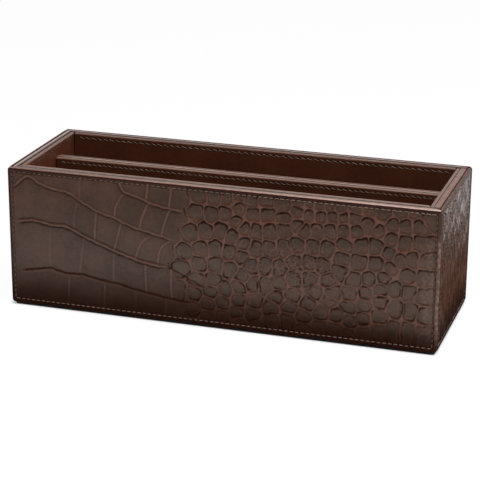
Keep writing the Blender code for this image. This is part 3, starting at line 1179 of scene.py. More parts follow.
@dataclass(frozen=True)
class Surface:
    """A material under construction: its graph, its shader and where each point of the piece is."""

    material: Material
    graph: Graph
    shader: Node
    place: Socket

    @classmethod
    def start(cls, name: str) -> "Surface":
        """Starts a material with a Principled shader."""
        material = bpy.data.materials.new(name)
        material.use_nodes = True
        tree = material.node_tree
        graph = Graph(tree)
        return cls(material, graph, tree.nodes["Principled BSDF"], graph.node("TexCoord").outputs["Object"])

    def use(self, group: NodeTree, **inputs: Socket | Colour | float) -> dict[str, Socket]:
        """Places a node group, fed with the point's place.

        Args:
            group: the group.
            inputs: its other inputs, by name with _ for a space.

        Returns:
            The group's outputs by name.
        """
        node = self.graph.tree.nodes.new("ShaderNodeGroup")
        node.node_tree = group
        self.graph.tree.links.new(self.place, node.inputs["Place"])
        for key, value in inputs.items():
            socket = node.inputs[key.replace("_", " ")]
            socket.default_value = (*value, 1) if isinstance(value, tuple) else value
        return {output.name: output for output in node.outputs}

    def mask(self, name: str) -> Socket:
        """A value that the piece's mesh carries at each point."""
        return self.graph.node("Attribute", attribute_name=name).outputs["Fac"]

    def feed(self, socket: str, value: Socket) -> None:
        """Links a value to one of the shader's sockets."""
        self.graph.tree.links.new(value, self.shader.inputs[socket])

    def set(self, **values: float | tuple) -> None:
        """Sets some of the shader's sockets, named with _ for a space."""
        for key, value in values.items():
            self.shader.inputs[key.replace("_", " ")].default_value = value

    def roughened(self, height: Socket, rough: float, fine: float) -> Socket:
        """Roughness that goes from one value in the grain's pits to another on its tops."""
        return self.graph.spread(height, *GRAIN_HEIGHTS, rough, fine)

    def bump(self, height: Socket, strength: float, distance: float) -> None:
        """Raises the surface by a height."""
        inputs = {"Height": height, "Strength": strength, "Distance": distance}
        self.feed("Normal", self.graph.node("Bump", inputs).outputs[0])


@dataclass(frozen=True)
class LeatherFinish:
    """Smooth leather: its colours, the size and depth of its grain, the shade painted in its seams, and its
    gloss.
    """

    name: str
    dye: Colour
    deep: Colour
    rubbed: Colour
    grain_scale: float
    grain_depth: float
    roughness: float
    specular: float
    rim: float
    rim_reach: float
    seams: tuple[float, ...] = ()
    seam_width: float = 0.7 * MM
    seam_frame: tuple[float, float, float, float] | None = None
    # The colour of the shade painted in the seams, how much of it, and the share of its width that is full
    seam_shade: Colour = (0.010, 0.003, 0.002)
    seam_amount: float = 0.9
    seam_core: float = 0.4
    painted_edge: Colour | None = None
    painted_reach: tuple[float, float] = (0.90 * MM, 0.27 * MM)
    drift_scale: float = 28.0
    drift_amount: float = 0.8
    pore_size: float = 0.22
    pore_amount: float = 0.5
    rub_amount: float = 0.6
    rub_shine: float = 0.12
    roughness_range: tuple[float, float] = (0.08, -0.06)
    bump: float = 0.7
    gloss: float = 0
    gloss_index: float = 1.5

    def in_seam(self, surface: Surface) -> Socket:
        """Marks where the leather goes down into its seams, where shade is painted: lines along x, or else
        one line round the rim.

        Args:
            surface: the material under construction.

        Returns:
            The mask.
        """
        graph = surface.graph
        place = graph.node("SeparateXYZ", {0: surface.place}).outputs
        if self.seam_frame is None:
            across, seams = place["Y"], self.seams
        else:
            left, right, front, back = self.seam_frame
            ways = []
            for part, low, high in ((place["X"], left, right), (place["Y"], front, back)):
                from_middle = graph.calc("ABSOLUTE", graph.calc("SUBTRACT", part, (low + high) / 2), 0.0)
                ways.append(graph.calc("SUBTRACT", from_middle, (high - low) / 2))
            across, seams = graph.calc("MAXIMUM", *ways), (0.0,)
        total = None
        for seam in seams:
            away = graph.calc("ABSOLUTE", graph.calc("SUBTRACT", across, seam), 0.0)
            mask = graph.spread(away, self.seam_width, self.seam_core * self.seam_width)
            total = mask if total is None else graph.calc("MAXIMUM", total, mask)
        return total

    def make(self, effects: Effects) -> Material:
        """Builds the material.

        Args:
            effects: the shared node groups.

        Returns:
            The material.
        """
        surface = Surface.start(self.name)
        graph = surface.graph
        base = surface.use(
            effects.drift, Base=self.dye, Deep=self.deep, Scale=self.drift_scale, Amount=self.drift_amount
        )
        grain = surface.use(effects.grain, Scale=self.grain_scale, Pore_Size=self.pore_size)
        wear = surface.use(effects.wear, Rim=self.rim, Reach=self.rim_reach)
        rubbed = graph.calc("MULTIPLY", wear["Mask"], self.rub_amount)
        colour = graph.mix(rubbed, base["Colour"], self.rubbed)
        colour = graph.mix(graph.calc("MULTIPLY", grain["Pores"], self.pore_amount), colour, self.deep)
        if self.painted_edge is not None:
            height = graph.node("SeparateXYZ", {0: surface.place}).outputs["Z"]
            painted = graph.spread(height, *(self.rim - reach for reach in self.painted_reach))
            colour = graph.mix(painted, colour, self.painted_edge)
        if self.seams or self.seam_frame:
            # Painted shade in the seams, which also lose their gloss
            seam = self.in_seam(surface)
            colour = graph.mix(graph.calc("MULTIPLY", seam, self.seam_amount), colour, self.seam_shade)
            if self.gloss:
                surface.feed("Coat Weight", graph.spread(seam, 0.0, 1.0, self.gloss, 0.0))
                surface.set(Coat_Roughness=self.roughness, Coat_IOR=self.gloss_index)
        surface.feed("Base Color", colour)
        rough = surface.roughened(grain["Height"], *(self.roughness + part for part in self.roughness_range))
        shine = graph.calc("MULTIPLY", rubbed, self.rub_shine)
        surface.feed("Roughness", graph.calc("SUBTRACT", rough, shine))
        surface.set(Specular_IOR_Level=self.specular)
        surface.bump(grain["Height"], self.bump, self.grain_depth)
        return surface.material


@dataclass(frozen=True)
class EmbossedFinish:
    """Pressed crocodile grain: scales dyed dark and ridges left warm, with shade painted into the grooves,
    the hollows and the foot, and a highlight painted on the top crest.
    """

    name: str = "embossed_leather"
    scale: Colour = (0.034, 0.0125, 0.0058)
    scale_light: Colour = (0.073, 0.0300, 0.0160)
    heart: Colour = (0.068, 0.041, 0.0245)
    ridge: Colour = (0.130, 0.047, 0.030)
    # The folds' ridges are lighter, partly a painted highlight along the rolls
    smooth_ridge: Colour = (0.130, 0.060, 0.042)
    # The groove colour is painted shade: in the grooves and hollows of the scales, beside folds and wrinkles,
    # and in the stitch holes
    groove: Colour = (0.018, 0.0045, 0.0018)
    # Dark edge paint round the border, which also stands in for the shade on the rounded edge
    edge: Colour = (0.030, 0.006, 0.0035)
    # Painted shade: the covers turn darker towards the foot
    foot: Colour = (0.011, 0.0030, 0.0013)
    # Lighter paint on the top crest, which also stands in for its highlight
    crest: Colour = (0.400, 0.235, 0.180)
    drift_scale: float = 45.0
    grain_scale: float = 1500.0
    grain_depth: float = 0.00005
    pore_size: float = 0.2
    rim_reach: float = 0.004
    tone_amount: float = 0.5
    heart_amount: float = 0.7
    ridge_amount: float = 0.85
    foot_shade_amount: float = 0.85
    crest_wear: float = 0.25
    roughness: float = 0.40
    roughness_range: tuple[float, float] = (0.1, -0.06)
    groove_roughness: float = 0.25
    bump: float = 0.6
    specular: float = 0.02
    gloss_index: float = 1.7
    gloss_roughness: float = 0.22

    def make(self, effects: Effects) -> Material:
        """Builds the material.

        Args:
            effects: the shared node groups.

        Returns:
            The material.
        """
        surface = Surface.start(self.name)
        graph = surface.graph
        names = ("ridge", "shade", "edge", "crest", "tone", "foot", "smooth", "heart", "polish")
        masks = {name: surface.mask(name) for name in names}
        drift = surface.use(
            effects.drift, Base=self.scale_light, Deep=self.scale, Scale=self.drift_scale, Amount=1.0
        )
        grain = surface.use(effects.grain, Scale=self.grain_scale, Pore_Size=self.pore_size)
        wear = surface.use(effects.wear, Rim=RIM, Reach=self.rim_reach)
        colour = graph.mix(
            graph.spread(masks["tone"], 0.0, 1.0, 0.0, self.tone_amount), drift["Colour"], self.scale
        )
        # Then the hearts, the ridges, the dark edge paint, the painted shade at the foot and the painted
        # shade in the grooves
        layers = (
            (graph.calc("MULTIPLY", masks["heart"], self.heart_amount), self.heart),
            (
                graph.calc("MULTIPLY", masks["ridge"], self.ridge_amount),
                graph.mix(masks["smooth"], self.ridge, self.smooth_ridge),
            ),
            (masks["edge"], self.edge),
            (graph.calc("MULTIPLY", masks["foot"], self.foot_shade_amount), self.foot),
            (masks["shade"], self.groove),
        )
        for share, dye in layers:
            colour = graph.mix(share, colour, dye)
        # The crest's lighter paint and painted highlight, less where it is worn
        worn = graph.calc("MULTIPLY", wear["Mask"], self.crest_wear)
        crest = graph.calc("MULTIPLY", graph.calc("SUBTRACT", masks["crest"], worn), masks["crest"])
        surface.feed("Base Color", graph.mix(crest, colour, self.crest))
        rough = surface.roughened(grain["Height"], *(self.roughness + part for part in self.roughness_range))
        dull = graph.calc("MULTIPLY", masks["shade"], self.groove_roughness)
        surface.feed("Roughness", graph.calc("ADD", rough, dull))
        surface.feed("Coat Weight", masks["polish"])
        surface.set(
            Coat_Roughness=self.gloss_roughness, Coat_IOR=self.gloss_index, Specular_IOR_Level=self.specular
        )
        surface.bump(grain["Height"], self.bump, self.grain_depth)
        return surface.material


@dataclass(frozen=True)
class ThreadFinish:
    """Waxed sewing thread, with the twist of its plies, painted darker where its stitches take less painted
    light.
    """

    name: str
    colour: Colour
    dark: Colour
    unlit: Colour = (0.030, 0.012, 0.007)
    drift_scale: float = 160.0
    drift_amount: float = 0.6
    ply_scale: float = 620.0
    ply_warp: float = 1.5
    ply_edge: tuple[float, float] = (0.15, 0.75)
    ply_depth: float = 0.00008
    roughness: float = 0.5
    gap_roughness: float = 0.7
    bump: float = 0.6

    def make(self, effects: Effects) -> Material:
        """Builds the material.

        Args:
            effects: the shared node groups.

        Returns:
            The material.
        """
        surface = Surface.start(self.name)
        graph = surface.graph
        drift = surface.use(
            effects.drift, Base=self.colour, Deep=self.dark, Scale=self.drift_scale, Amount=self.drift_amount
        )
        inputs = {"Vector": surface.place, "Scale": self.ply_scale, "Distortion": self.ply_warp}
        twist = graph.node("TexWave", inputs, bands_direction="DIAGONAL")
        plies = graph.spread(twist.outputs[1], *self.ply_edge)
        colour = graph.mix(plies, self.dark, drift["Colour"])
        # Painted light: each stitch's light mask mixes the thread towards its unlit colour
        surface.feed("Base Color", graph.mix(surface.mask("light"), self.unlit, colour))
        surface.feed("Roughness", graph.spread(plies, 0.0, 1.0, self.gap_roughness, self.roughness))
        surface.bump(plies, self.bump, self.ply_depth)
        return surface.material


@dataclass(frozen=True)
class FibreFinish:
    """Board or black backing sheet: short fibres pressed flat."""

    name: str
    colour: Colour
    dark: Colour
    fibre_scale: float
    roughness: float
    smoothest: float
    drift_scale: float = 60.0
    drift_amount: float = 0.7
    stretch: tuple[float, float, float] = (1.0, 0.25, 1.0)
    fibre_detail: tuple[float, float] = (6.0, 0.7)
    dye_edge: tuple[float, float] = (0.35, 0.7)
    rough_edge: tuple[float, float] = (0.3, 0.7)
    bump: float = 0.6
    fibre_depth: float = 0.0001

    def make(self, effects: Effects) -> Material:
        """Builds the material.

        Args:
            effects: the shared node groups.

        Returns:
            The material.
        """
        surface = Surface.start(self.name)
        graph = surface.graph
        drift = surface.use(
            effects.drift, Base=self.colour, Deep=self.dark, Scale=self.drift_scale, Amount=self.drift_amount
        )
        stretched = graph.node("Mapping", {"Vector": surface.place, "Scale": self.stretch}).outputs[0]
        fibres = graph.noise(stretched, self.fibre_scale, *self.fibre_detail)
        dyed = graph.spread(fibres, *self.dye_edge)
        surface.feed("Base Color", graph.mix(dyed, self.dark, drift["Colour"]))
        surface.feed("Roughness", graph.spread(fibres, *self.rough_edge, self.roughness, self.smoothest))
        surface.bump(fibres, self.bump, self.fibre_depth)
        return surface.material


# Sub-assemblies

# Seeds for the foot's painted shade and for the highlight painted on the front's right edge
FOOT_SEED = 5
GLOW_SEED = 31

# Seeds for the hides of the front, the right end, the back and the left end
HIDE_SEEDS = (11, 22, 23, 24)

# Where the rim's wraps go down into their seams: the left, right, front and back of that line
RIM_SEAM = (-0.1388, 0.1446, -0.0455, 0.0440)

# The paint on the top edges of the linings: a lighter copy, which is painted light, and the plain paint
LIT_PAINT: Colour = (0.150, 0.084, 0.062)
PAINT: Colour = (0.108, 0.058, 0.042)


@dataclass
class CoverGrid:
    """A cover's points: their places, and how far in they are from a side and from the top or foot."""

    u: np.ndarray
    v: np.ndarray
    side: np.ndarray
    rise: np.ndarray

    @property
    def inset(self) -> np.ndarray:
        """How far in each point is from the nearest edge."""
        return np.minimum(self.side, self.rise)


@dataclass
class EmbossedCover:
    """One outer cover with its stitches: rounded edges, a stitch channel with its holes, and the scales."""

    wall: str
    facing: Facing
    # How bright the crest's lighter paint and painted highlight are at the left and at the right
    crest_paint_and_highlight: tuple[float, float] = (0.7, 0.7)
    crest_margin: tuple[float, float] = (2.4 * MM, 1.5 * MM)
    crest_shines: bool = False
    gloss: float = 0.5
    top_polish: float = 0.9
    low_polish: float = 0.9
    middle_polish: float = 0.7
    side_edges: tuple[float, float] = (0.55, 0.55)
    # side_glow and the glow values below set a highlight painted on the right edge and the strip beside it
    side_glow: float = 0
    glow_margin: tuple[float, float] = (2.6 * MM, 0.8 * MM)
    strip_glow: float = 1.35
    strip_margin: tuple[float, float] = (18 * MM, 6 * MM)
    glow_fall: tuple[float, float] = (8 * MM, 26 * MM)
    # How much painted light each row's thread takes at its ends: the foot, the top, the left and the right
    row_lit_shares: tuple[tuple[float, float], ...] = ((0.7, 0.7), (0.7, 0.7), (0.5, 0.5), (0.5, 0.5))
    edge_side: float = 1.8 * MM
    edge_top: float = 1.3 * MM
    edge_deep: float = 1.4 * MM
    corner: float = 2.2 * MM
    back_ease: float = 0.4 * MM
    stitch_inset: float = 3.0 * MM
    channel_width: float = 1.2 * MM
    channel_depth: float = 0.4 * MM
    channel_reach: float = 0.75
    hole_radius: float = 0.4 * MM
    hole_depth: float = 0.35 * MM
    spacing: float = 0.59 * MM
    edge_steps: int = 6
    channel_steps: int = 8
    flat_margin: tuple[float, float] = (1.0 * MM, 2.4 * MM)
    painted_margin: tuple[float, float] = (2.6 * MM, 1.4 * MM)
    # Where the shade painted at the foot starts and is full, and how its line sways and rises
    foot_margin: tuple[float, float] = (34 * MM, 2 * MM)
    foot_sway: float = 2 * MM
    foot_sway_length: float = 40 * MM
    foot_rise: float = 0.6
    foot_rise_from: tuple[float, float] = (0.7, 1.0)
    polish_turn: tuple[float, float] = (0.85, 0.25)
    polish_middle: tuple[float, float] = (0.45, 0.27)
    matt: float = 0.95
    edge_matt: float = 0.75
    hole_matt: float = 0.9
    # How dark the shade painted in the stitch holes is
    hole_shade: float = 0.9
    glow_shares: tuple[float, float] = (0.9, 0.45)
    glow_length: float = 4 * MM
    glow_hole: float = 0.8
    glow_foot: float = 0.7

    def __post_init__(self) -> None:
        """Reads where the cover stands from the CAD."""
        self.node = self.wall + "_cover"
        self.stand = Stand.of(self.node, self.facing)

    def lines(self, length: float, edge: float) -> np.ndarray:
        """Places the grid lines one way across the cover.

        Args:
            length: the cover's length that way.
            edge: how far its rounding reaches in.

        Returns:
            The lines, close over the rounding and the channel and even between the channels.
        """
        rounding = edge * (1 - np.cos(np.linspace(0, math.pi / 2, self.edge_steps + 1)))
        reach = self.channel_reach * self.channel_width
        channel = np.linspace(self.stitch_inset - reach, self.stitch_inset + reach, self.channel_steps + 1)
        border = np.concatenate((rounding, channel))
        count = round((length - 2 * border[-1]) / self.spacing)
        middle = np.linspace(border[-1], length - border[-1], count + 1)
        return np.concatenate((border, middle[1:-1], length - border[::-1]))

    def rounded(self, u: np.ndarray, v: np.ndarray) -> tuple[np.ndarray, np.ndarray]:
        """Bends the grid's square corners to the outline's radius.

        Args:
            u: places across.
            v: places up.

        Returns:
            The bent places.
        """
        stand, radius = self.stand, self.corner
        side, rise = np.minimum(u, stand.width - u), np.minimum(v, stand.height - v)
        short, long = np.minimum(side, rise), np.maximum(side, rise)
        angle = math.pi / 4 * (radius - long) / np.maximum(radius - short, TINY)
        bent_short = radius - (radius - short) * np.cos(angle)
        bent_long = radius - (radius - short) * np.sin(angle)
        in_corner = long < radius
        upright = side <= rise
        bent_side = np.where(in_corner, np.where(upright, bent_short, bent_long), side)
        bent_rise = np.where(in_corner, np.where(upright, bent_long, bent_short), rise)
        bent_u = np.where(u < stand.width / 2, bent_side, stand.width - bent_side)
        bent_v = np.where(v < stand.height / 2, bent_rise, stand.height - bent_rise)
        return bent_u, bent_v

    def holes(self, u: np.ndarray, v: np.ndarray) -> np.ndarray:
        """Masks the holes that the thread goes through, on all four rows.

        Args:
            u: places across.
            v: places up.

        Returns:
            A mask that is 1 in the middle of each hole.
        """
        mask = np.zeros_like(u)
        inset = self.stitch_inset
        width, height = self.stand.width, self.stand.height
        for along, across, length, breadth in ((u, v, width, height), (v, u, height, width)):
            row = length - 2 * inset
            step = row / OUTER_SEWING.count(row)
            index = np.clip(np.round((along - inset) / step), 0, OUTER_SEWING.count(row))
            past = along - inset - index * step
            for place in (inset, breadth - inset):
                mask = np.maximum(mask, hump(0, self.hole_radius, np.hypot(past, across - place)))
        return mask

    def masks(self, grid: CoverGrid, maps: HideMaps, pressed: np.ndarray, holes: np.ndarray) -> dict:
        """Works out what the finish reads at each point.

        Args:
            grid: the cover's points.
            maps: what the scales do there.
            pressed: how fully the press has reached each point.
            holes: a mask of the stitch holes.

        Returns:
            The masks by name.
        """
        u, v, stand = grid.u, grid.v, self.stand
        along, up = u / stand.width, v / stand.height
        below, from_right = stand.height - v, stand.width - u
        # foot: painted shade, darker towards the foot, its band lower towards the right
        sway = self.foot_sway * ripple(u, v, self.foot_sway_length, FOOT_SEED)
        foot = ramp(*self.foot_margin, v * (1 + self.foot_rise * ramp(*self.foot_rise_from, along)) + sway)
        # edge: dark edge paint round the border, which also stands in for the shade on the rounded edge;
        # sides sets how much each side takes
        sides = np.where(u < stand.width / 2, *self.side_edges)
        edge = ramp(*self.painted_margin, grid.inset) * np.where(grid.side < grid.rise, sides, 1)
        # crest: lighter paint on the top crest, which also stands in for its highlight
        left, right = self.crest_paint_and_highlight
        crest = ramp(*self.crest_margin, below) * (left + (right - left) * along)
        dull = np.clip(pressed * maps.dull, 0, 1)
        polish = self.top_polish + (self.low_polish - self.top_polish) * ramp(*self.polish_turn, up)
        polish = polish * (1 + self.middle_polish * hump(*self.polish_middle, up))
        polish = self.gloss * polish * (1 - self.matt * dull) * (1 - self.matt * foot)
        polish = polish * (1 - self.edge_matt * edge) * (1 - self.hole_matt * holes)
        # glow: a highlight painted on the right edge, fading down the cover, at the foot and over the holes
        glow = ramp(*self.glow_margin, from_right) + self.strip_glow * ramp(*self.strip_margin, from_right)
        glow = self.side_glow * glow * ramp(*self.glow_fall, below) * (1 - self.glow_foot * foot)
        even, varied = self.glow_shares
        glow = glow * (even + varied * ripple(u, v, self.glow_length, GLOW_SEED))
        glow = glow * (1 - self.glow_hole * holes)
        return {
            "ridge": pressed * maps.ridge,
            # The shade mask also darkens the stitch holes, a painted shade; crest also carries the painted
            # highlight of glow
            "shade": np.clip(np.maximum(pressed * maps.shade, self.hole_shade * holes), 0, 1),
            "tone": maps.tone,
            "smooth": maps.smooth,
            "heart": maps.heart,
            "edge": edge,
            "crest": np.maximum(crest, glow),
            "foot": foot,
            "polish": np.maximum(polish * (1 - crest), crest if self.crest_shines else 0),
        }

    def shell(self, grid: CoverGrid, level: np.ndarray) -> tuple[np.ndarray, list]:
        """Builds the closed cover: its face, its side and its eased back.

        Args:
            grid: the points of its face.
            level: how far out each of them is.

        Returns:
            The points and the faces, the back last.
        """
        stand, u, v = self.stand, grid.u, grid.v
        rows, columns = u.shape
        number = np.arange(rows * columns).reshape(rows, columns)
        quads = (number[:-1, :-1], number[:-1, 1:], number[1:, 1:], number[1:, :-1])
        faces = np.stack(quads, -1).reshape(-1, 4).tolist()
        rim = np.concatenate((number[0, :-1], number[:-1, -1], number[-1, :0:-1], number[:0:-1, 0]))
        rim_u, rim_v = u.ravel()[rim], v.ravel()[rim]
        middle_u, middle_v = stand.width / 2, stand.height / 2
        back_u = middle_u + (rim_u - middle_u) * (1 - self.back_ease / middle_u)
        back_v = middle_v + (rim_v - middle_v) * (1 - self.back_ease / middle_v)
        backs = ((rim_u, rim_v, self.back_ease - stand.thickness), (back_u, back_v, -stand.thickness))
        points = [stand.place(u, v, level)]
        low = rim
        for ring_u, ring_v, ring_level in backs:
            points.append(stand.place(ring_u, ring_v, np.full(ring_u.shape, ring_level)))
            high = rows * columns + (len(points) - 2) * len(rim) + np.arange(len(rim))
            faces += np.stack((np.roll(low, -1), low, high, np.roll(high, -1)), -1).tolist()
            low = high
        faces.append(low[::-1].tolist())
        return np.concatenate(points), faces

    def make_cover(self, hide: Hide, material: Material) -> None:
        """Cuts the cover's mesh and puts it in place of the CAD's plain panel.

        Args:
            hide: the pattern of scales.
            material: the leather.
        """
        stand = self.stand
        across, upward = self.lines(stand.width, self.edge_side), self.lines(stand.height, self.edge_top)
        u, v = np.meshgrid(across, upward)
        side, rise = np.minimum(u, stand.width - u), np.minimum(v, stand.height - v)
        grid = CoverGrid(*self.rounded(u, v), side, rise)
        share = np.minimum(np.minimum(side / self.edge_side, rise / self.edge_top), 1)
        rounding = self.edge_deep * (1 - np.sqrt(1 - (1 - share) ** 2))
        across_channel = (grid.inset - self.stitch_inset) / (self.channel_width / 2)
        channel = np.sqrt(np.maximum(1 - across_channel**2, 0))
        maps = hide.maps(grid.u, grid.v)
        holes = self.holes(grid.u, grid.v)
        pressed = ramp(*self.flat_margin, grid.inset)
        level = -rounding - pressed * maps.drop - self.channel_depth * channel - self.hole_depth * holes
        points, faces = self.shell(grid, level)
        piece = piece_from(self.wall + "_embossed_cover", points, faces, material)
        piece.data.polygons[-1].use_smooth = False
        for name, mask in self.masks(grid, maps, pressed, holes).items():
            beyond = np.full(len(points) - mask.size, 1.0 if name == "edge" else 0.0)
            carry(piece, name, np.concatenate((mask.ravel(), beyond)))
        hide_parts(self.node)
        LOG.info("%s: %d points, %d faces", piece.name, len(points), len(faces))

    def make_stitches(self, thread: Material) -> None:
        """Sews the four rows round the cover.

        Args:
            thread: the thread's material.
        """
        work = StitchWork(self.wall + "_cover_stitches", self.stand, OUTER_SEWING)
        near = self.stitch_inset
        right, top = self.stand.width - near, self.stand.height - near
        rows = (
            ((near, near), (right, near)), ((near, top), (right, top)),
            ((near, near), (near, top)), ((right, near), (right, top)),
        )
        for (start, end), lit_shares in zip(rows, self.row_lit_shares):
            work.sew_row(start, end, lit_shares)
        piece = work.make(thread, "embossed_leather")
        LOG.info("%s: %d faces", piece.name, len(work.faces))


@dataclass
class InnerPanel:
    """A lining or one of the divider's facings, which keeps its CAD shape, with its slanted stitches."""

    node: str
    facing: Facing
    stitch_inset: float = 3.0 * MM
    row_margin: float = 3.6 * MM

    def make_stitches(self, thread: Material) -> None:
        """Sews the row under the panel's top edge.

        Args:
            thread: the thread's material.
        """
        stand = Stand.of(self.node, self.facing)
        sewing = LINING_SEWING if self.node.endswith("_lining") else FACING_SEWING
        work = StitchWork(self.node + "_stitches", stand, sewing)
        height = stand.height - self.stitch_inset
        work.sew_row((self.row_margin, height), (stand.width - self.row_margin, height))
        piece = work.make(thread, "lining_leather")
        LOG.info("%s: %d faces", piece.name, len(work.faces))


@dataclass
class LetterRack:
    """The whole rack."""

    camera: PhotoCamera
    effects: Effects

    def __post_init__(self) -> None:
        """Mixes the finishes."""
        rim_leather = LeatherFinish(
            "smooth_leather", (0.185, 0.108, 0.082), (0.110, 0.056, 0.041), (0.230, 0.150, 0.120),
            grain_scale=1400.0, grain_depth=0.00004, roughness=0.34, specular=0.03, rim=RIM, rim_reach=0.004,
            seam_width=1.7 * MM, seam_frame=RIM_SEAM, gloss=1.0,
        )
        # A darker copy of the rim's leather, painted shade, for the wraps other than the front's and the
        # divider's
        shaded_rim_leather = replace(
            rim_leather, name="shaded_smooth_leather", dye=(0.138, 0.075, 0.056), deep=(0.088, 0.043, 0.031),
            rubbed=(0.175, 0.112, 0.090),
        )
        lining = LeatherFinish(
            "lining_leather", (0.062, 0.018, 0.008), (0.036, 0.009, 0.0035), (0.160, 0.085, 0.060),
            grain_scale=1700.0, grain_depth=0.00003, roughness=0.42, specular=0.22, rim=RIM, rim_reach=0.0016,
            painted_edge=PAINT,
        )
        low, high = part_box("divider_wrap")
        on_divider = {"rim": high.z, "seams": (low.y, high.y), "seam_frame": None, "seam_width": 0.8 * MM}
        self.embossed = EmbossedFinish().make(self.effects)
        self.outer_thread, self.inner_thread = (
            ThreadFinish(name, colour, dark).make(self.effects)
            for name, colour, dark in (
                ("outer_thread", (0.270, 0.165, 0.118), (0.115, 0.058, 0.038)),
                ("inner_thread", (0.155, 0.094, 0.056), (0.066, 0.036, 0.020)),
            )
        )
        finishes = {
            "front_rim_wrap": rim_leather,
            "right_end_rim_wrap": replace(shaded_rim_leather, name="shaded_matt_smooth_leather", gloss=0.2),
            "_rim_wrap": shaded_rim_leather,
            "left_end_lining": replace(
                lining, name="lit_lining_leather", dye=(0.098, 0.030, 0.015), deep=(0.060, 0.016, 0.007)
            ),
            # The front lining and the divider's facings take the lighter edge paint, painted light
            "front_lining": replace(lining, name="front_lining_leather", painted_edge=LIT_PAINT),
            "_lining": lining,
            "_facing": replace(lining, name="divider_leather", painted_edge=LIT_PAINT, **on_divider),
            "divider_wrap": replace(rim_leather, name="divider_wrap_leather", **on_divider),
            "_board": FibreFinish(
                "board", (0.33, 0.26, 0.18), (0.20, 0.15, 0.10), fibre_scale=700.0, roughness=0.92,
                smoothest=0.77,
            ),
            "base_sheet": FibreFinish(
                "black_sheet", (0.012, 0.011, 0.011), (0.004, 0.004, 0.004), fibre_scale=1600.0,
                roughness=0.95, smoothest=0.80,
            ),
        }
        self.finishes = {ending: finish.make(self.effects) for ending, finish in finishes.items()}

    def make_covers(self) -> None:
        """Makes the four embossed covers and sews them."""
        covers = (
            # The front's crest and right edge carry a painted highlight, brighter towards the right, and its
            # right side takes less of the dark edge paint
            (EmbossedCover(
                "front", Facing.FRONT, crest_paint_and_highlight=(0.55, 1.0), crest_margin=(0.60 * MM, 0.30 * MM),
                crest_shines=True, side_edges=(1, 0.3), side_glow=0.22,
                row_lit_shares=((0.55, 0.55), (0.3, 1.0), (0.3, 0.3), (0.3, 0.3)),
            ), None),
            (EmbossedCover(
                "right_end", Facing.RIGHT, crest_paint_and_highlight=(0.4, 0.4), crest_margin=(0.8 * MM, 0.4 * MM),
                top_polish=2.0, low_polish=0.35, middle_polish=0,
            ), HideCut.WRINKLED_FLANK),
            (EmbossedCover("back", Facing.BACK, spacing=0.75 * MM), HideCut.BELLY_TO_FLANK),
            (EmbossedCover("left_end", Facing.LEFT), HideCut.BELLY),
        )
        for (cover, cut), seed in zip(covers, HIDE_SEEDS):
            if cut is None:
                hide = front_hide(cover.stand, seed, self.camera)
            else:
                hide = cut.lay(cover.stand, seed)
            cover.make_cover(hide, self.embossed)
            cover.make_stitches(self.outer_thread)

    def make_inside(self) -> None:
        """Sews the linings and the divider's facings."""
        facings = {
            "front_lining": Facing.BACK, "back_lining": Facing.FRONT, "left_end_lining": Facing.RIGHT,
            "right_end_lining": Facing.LEFT, "divider_front_facing": Facing.FRONT,
            "divider_rear_facing": Facing.BACK,
        }
        for node, facing in facings.items():
            InnerPanel(node, facing).make_stitches(self.inner_thread)

    def dress_cad(self) -> None:
        """Gives each CAD piece that stays its finish."""
        for name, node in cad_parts.items():
            for ending, material in self.finishes.items():
                if name.endswith(ending):
                    for slot in node.material_slots:
                        slot.link = "OBJECT"
                        slot.material = material
                    LOG.info("%s: %s", name, material.name)
                    break


@dataclass(frozen=True)
class Softbox:
    """A soft lamp that looks at the rack: where it hangs, its width and height, and its power in watts."""

    name: str
    spot: tuple[float, float, float]
    size: tuple[float, float]
    power: float

    def make(self) -> None:
        """Hangs the lamp."""
        data = bpy.data.lights.new(self.name, "AREA")
        data.shape = "RECTANGLE"
        data.size, data.size_y = self.size
        data.energy = self.power
        lamp = bpy.data.objects.new(self.name, data)
        lamp.location = self.spot
        aim = Vector((0, 0, RIM / 2)) - Vector(self.spot)
        lamp.rotation_euler = aim.to_track_quat("-Z", "Y").to_euler()
        bpy.context.scene.collection.objects.link(lamp)


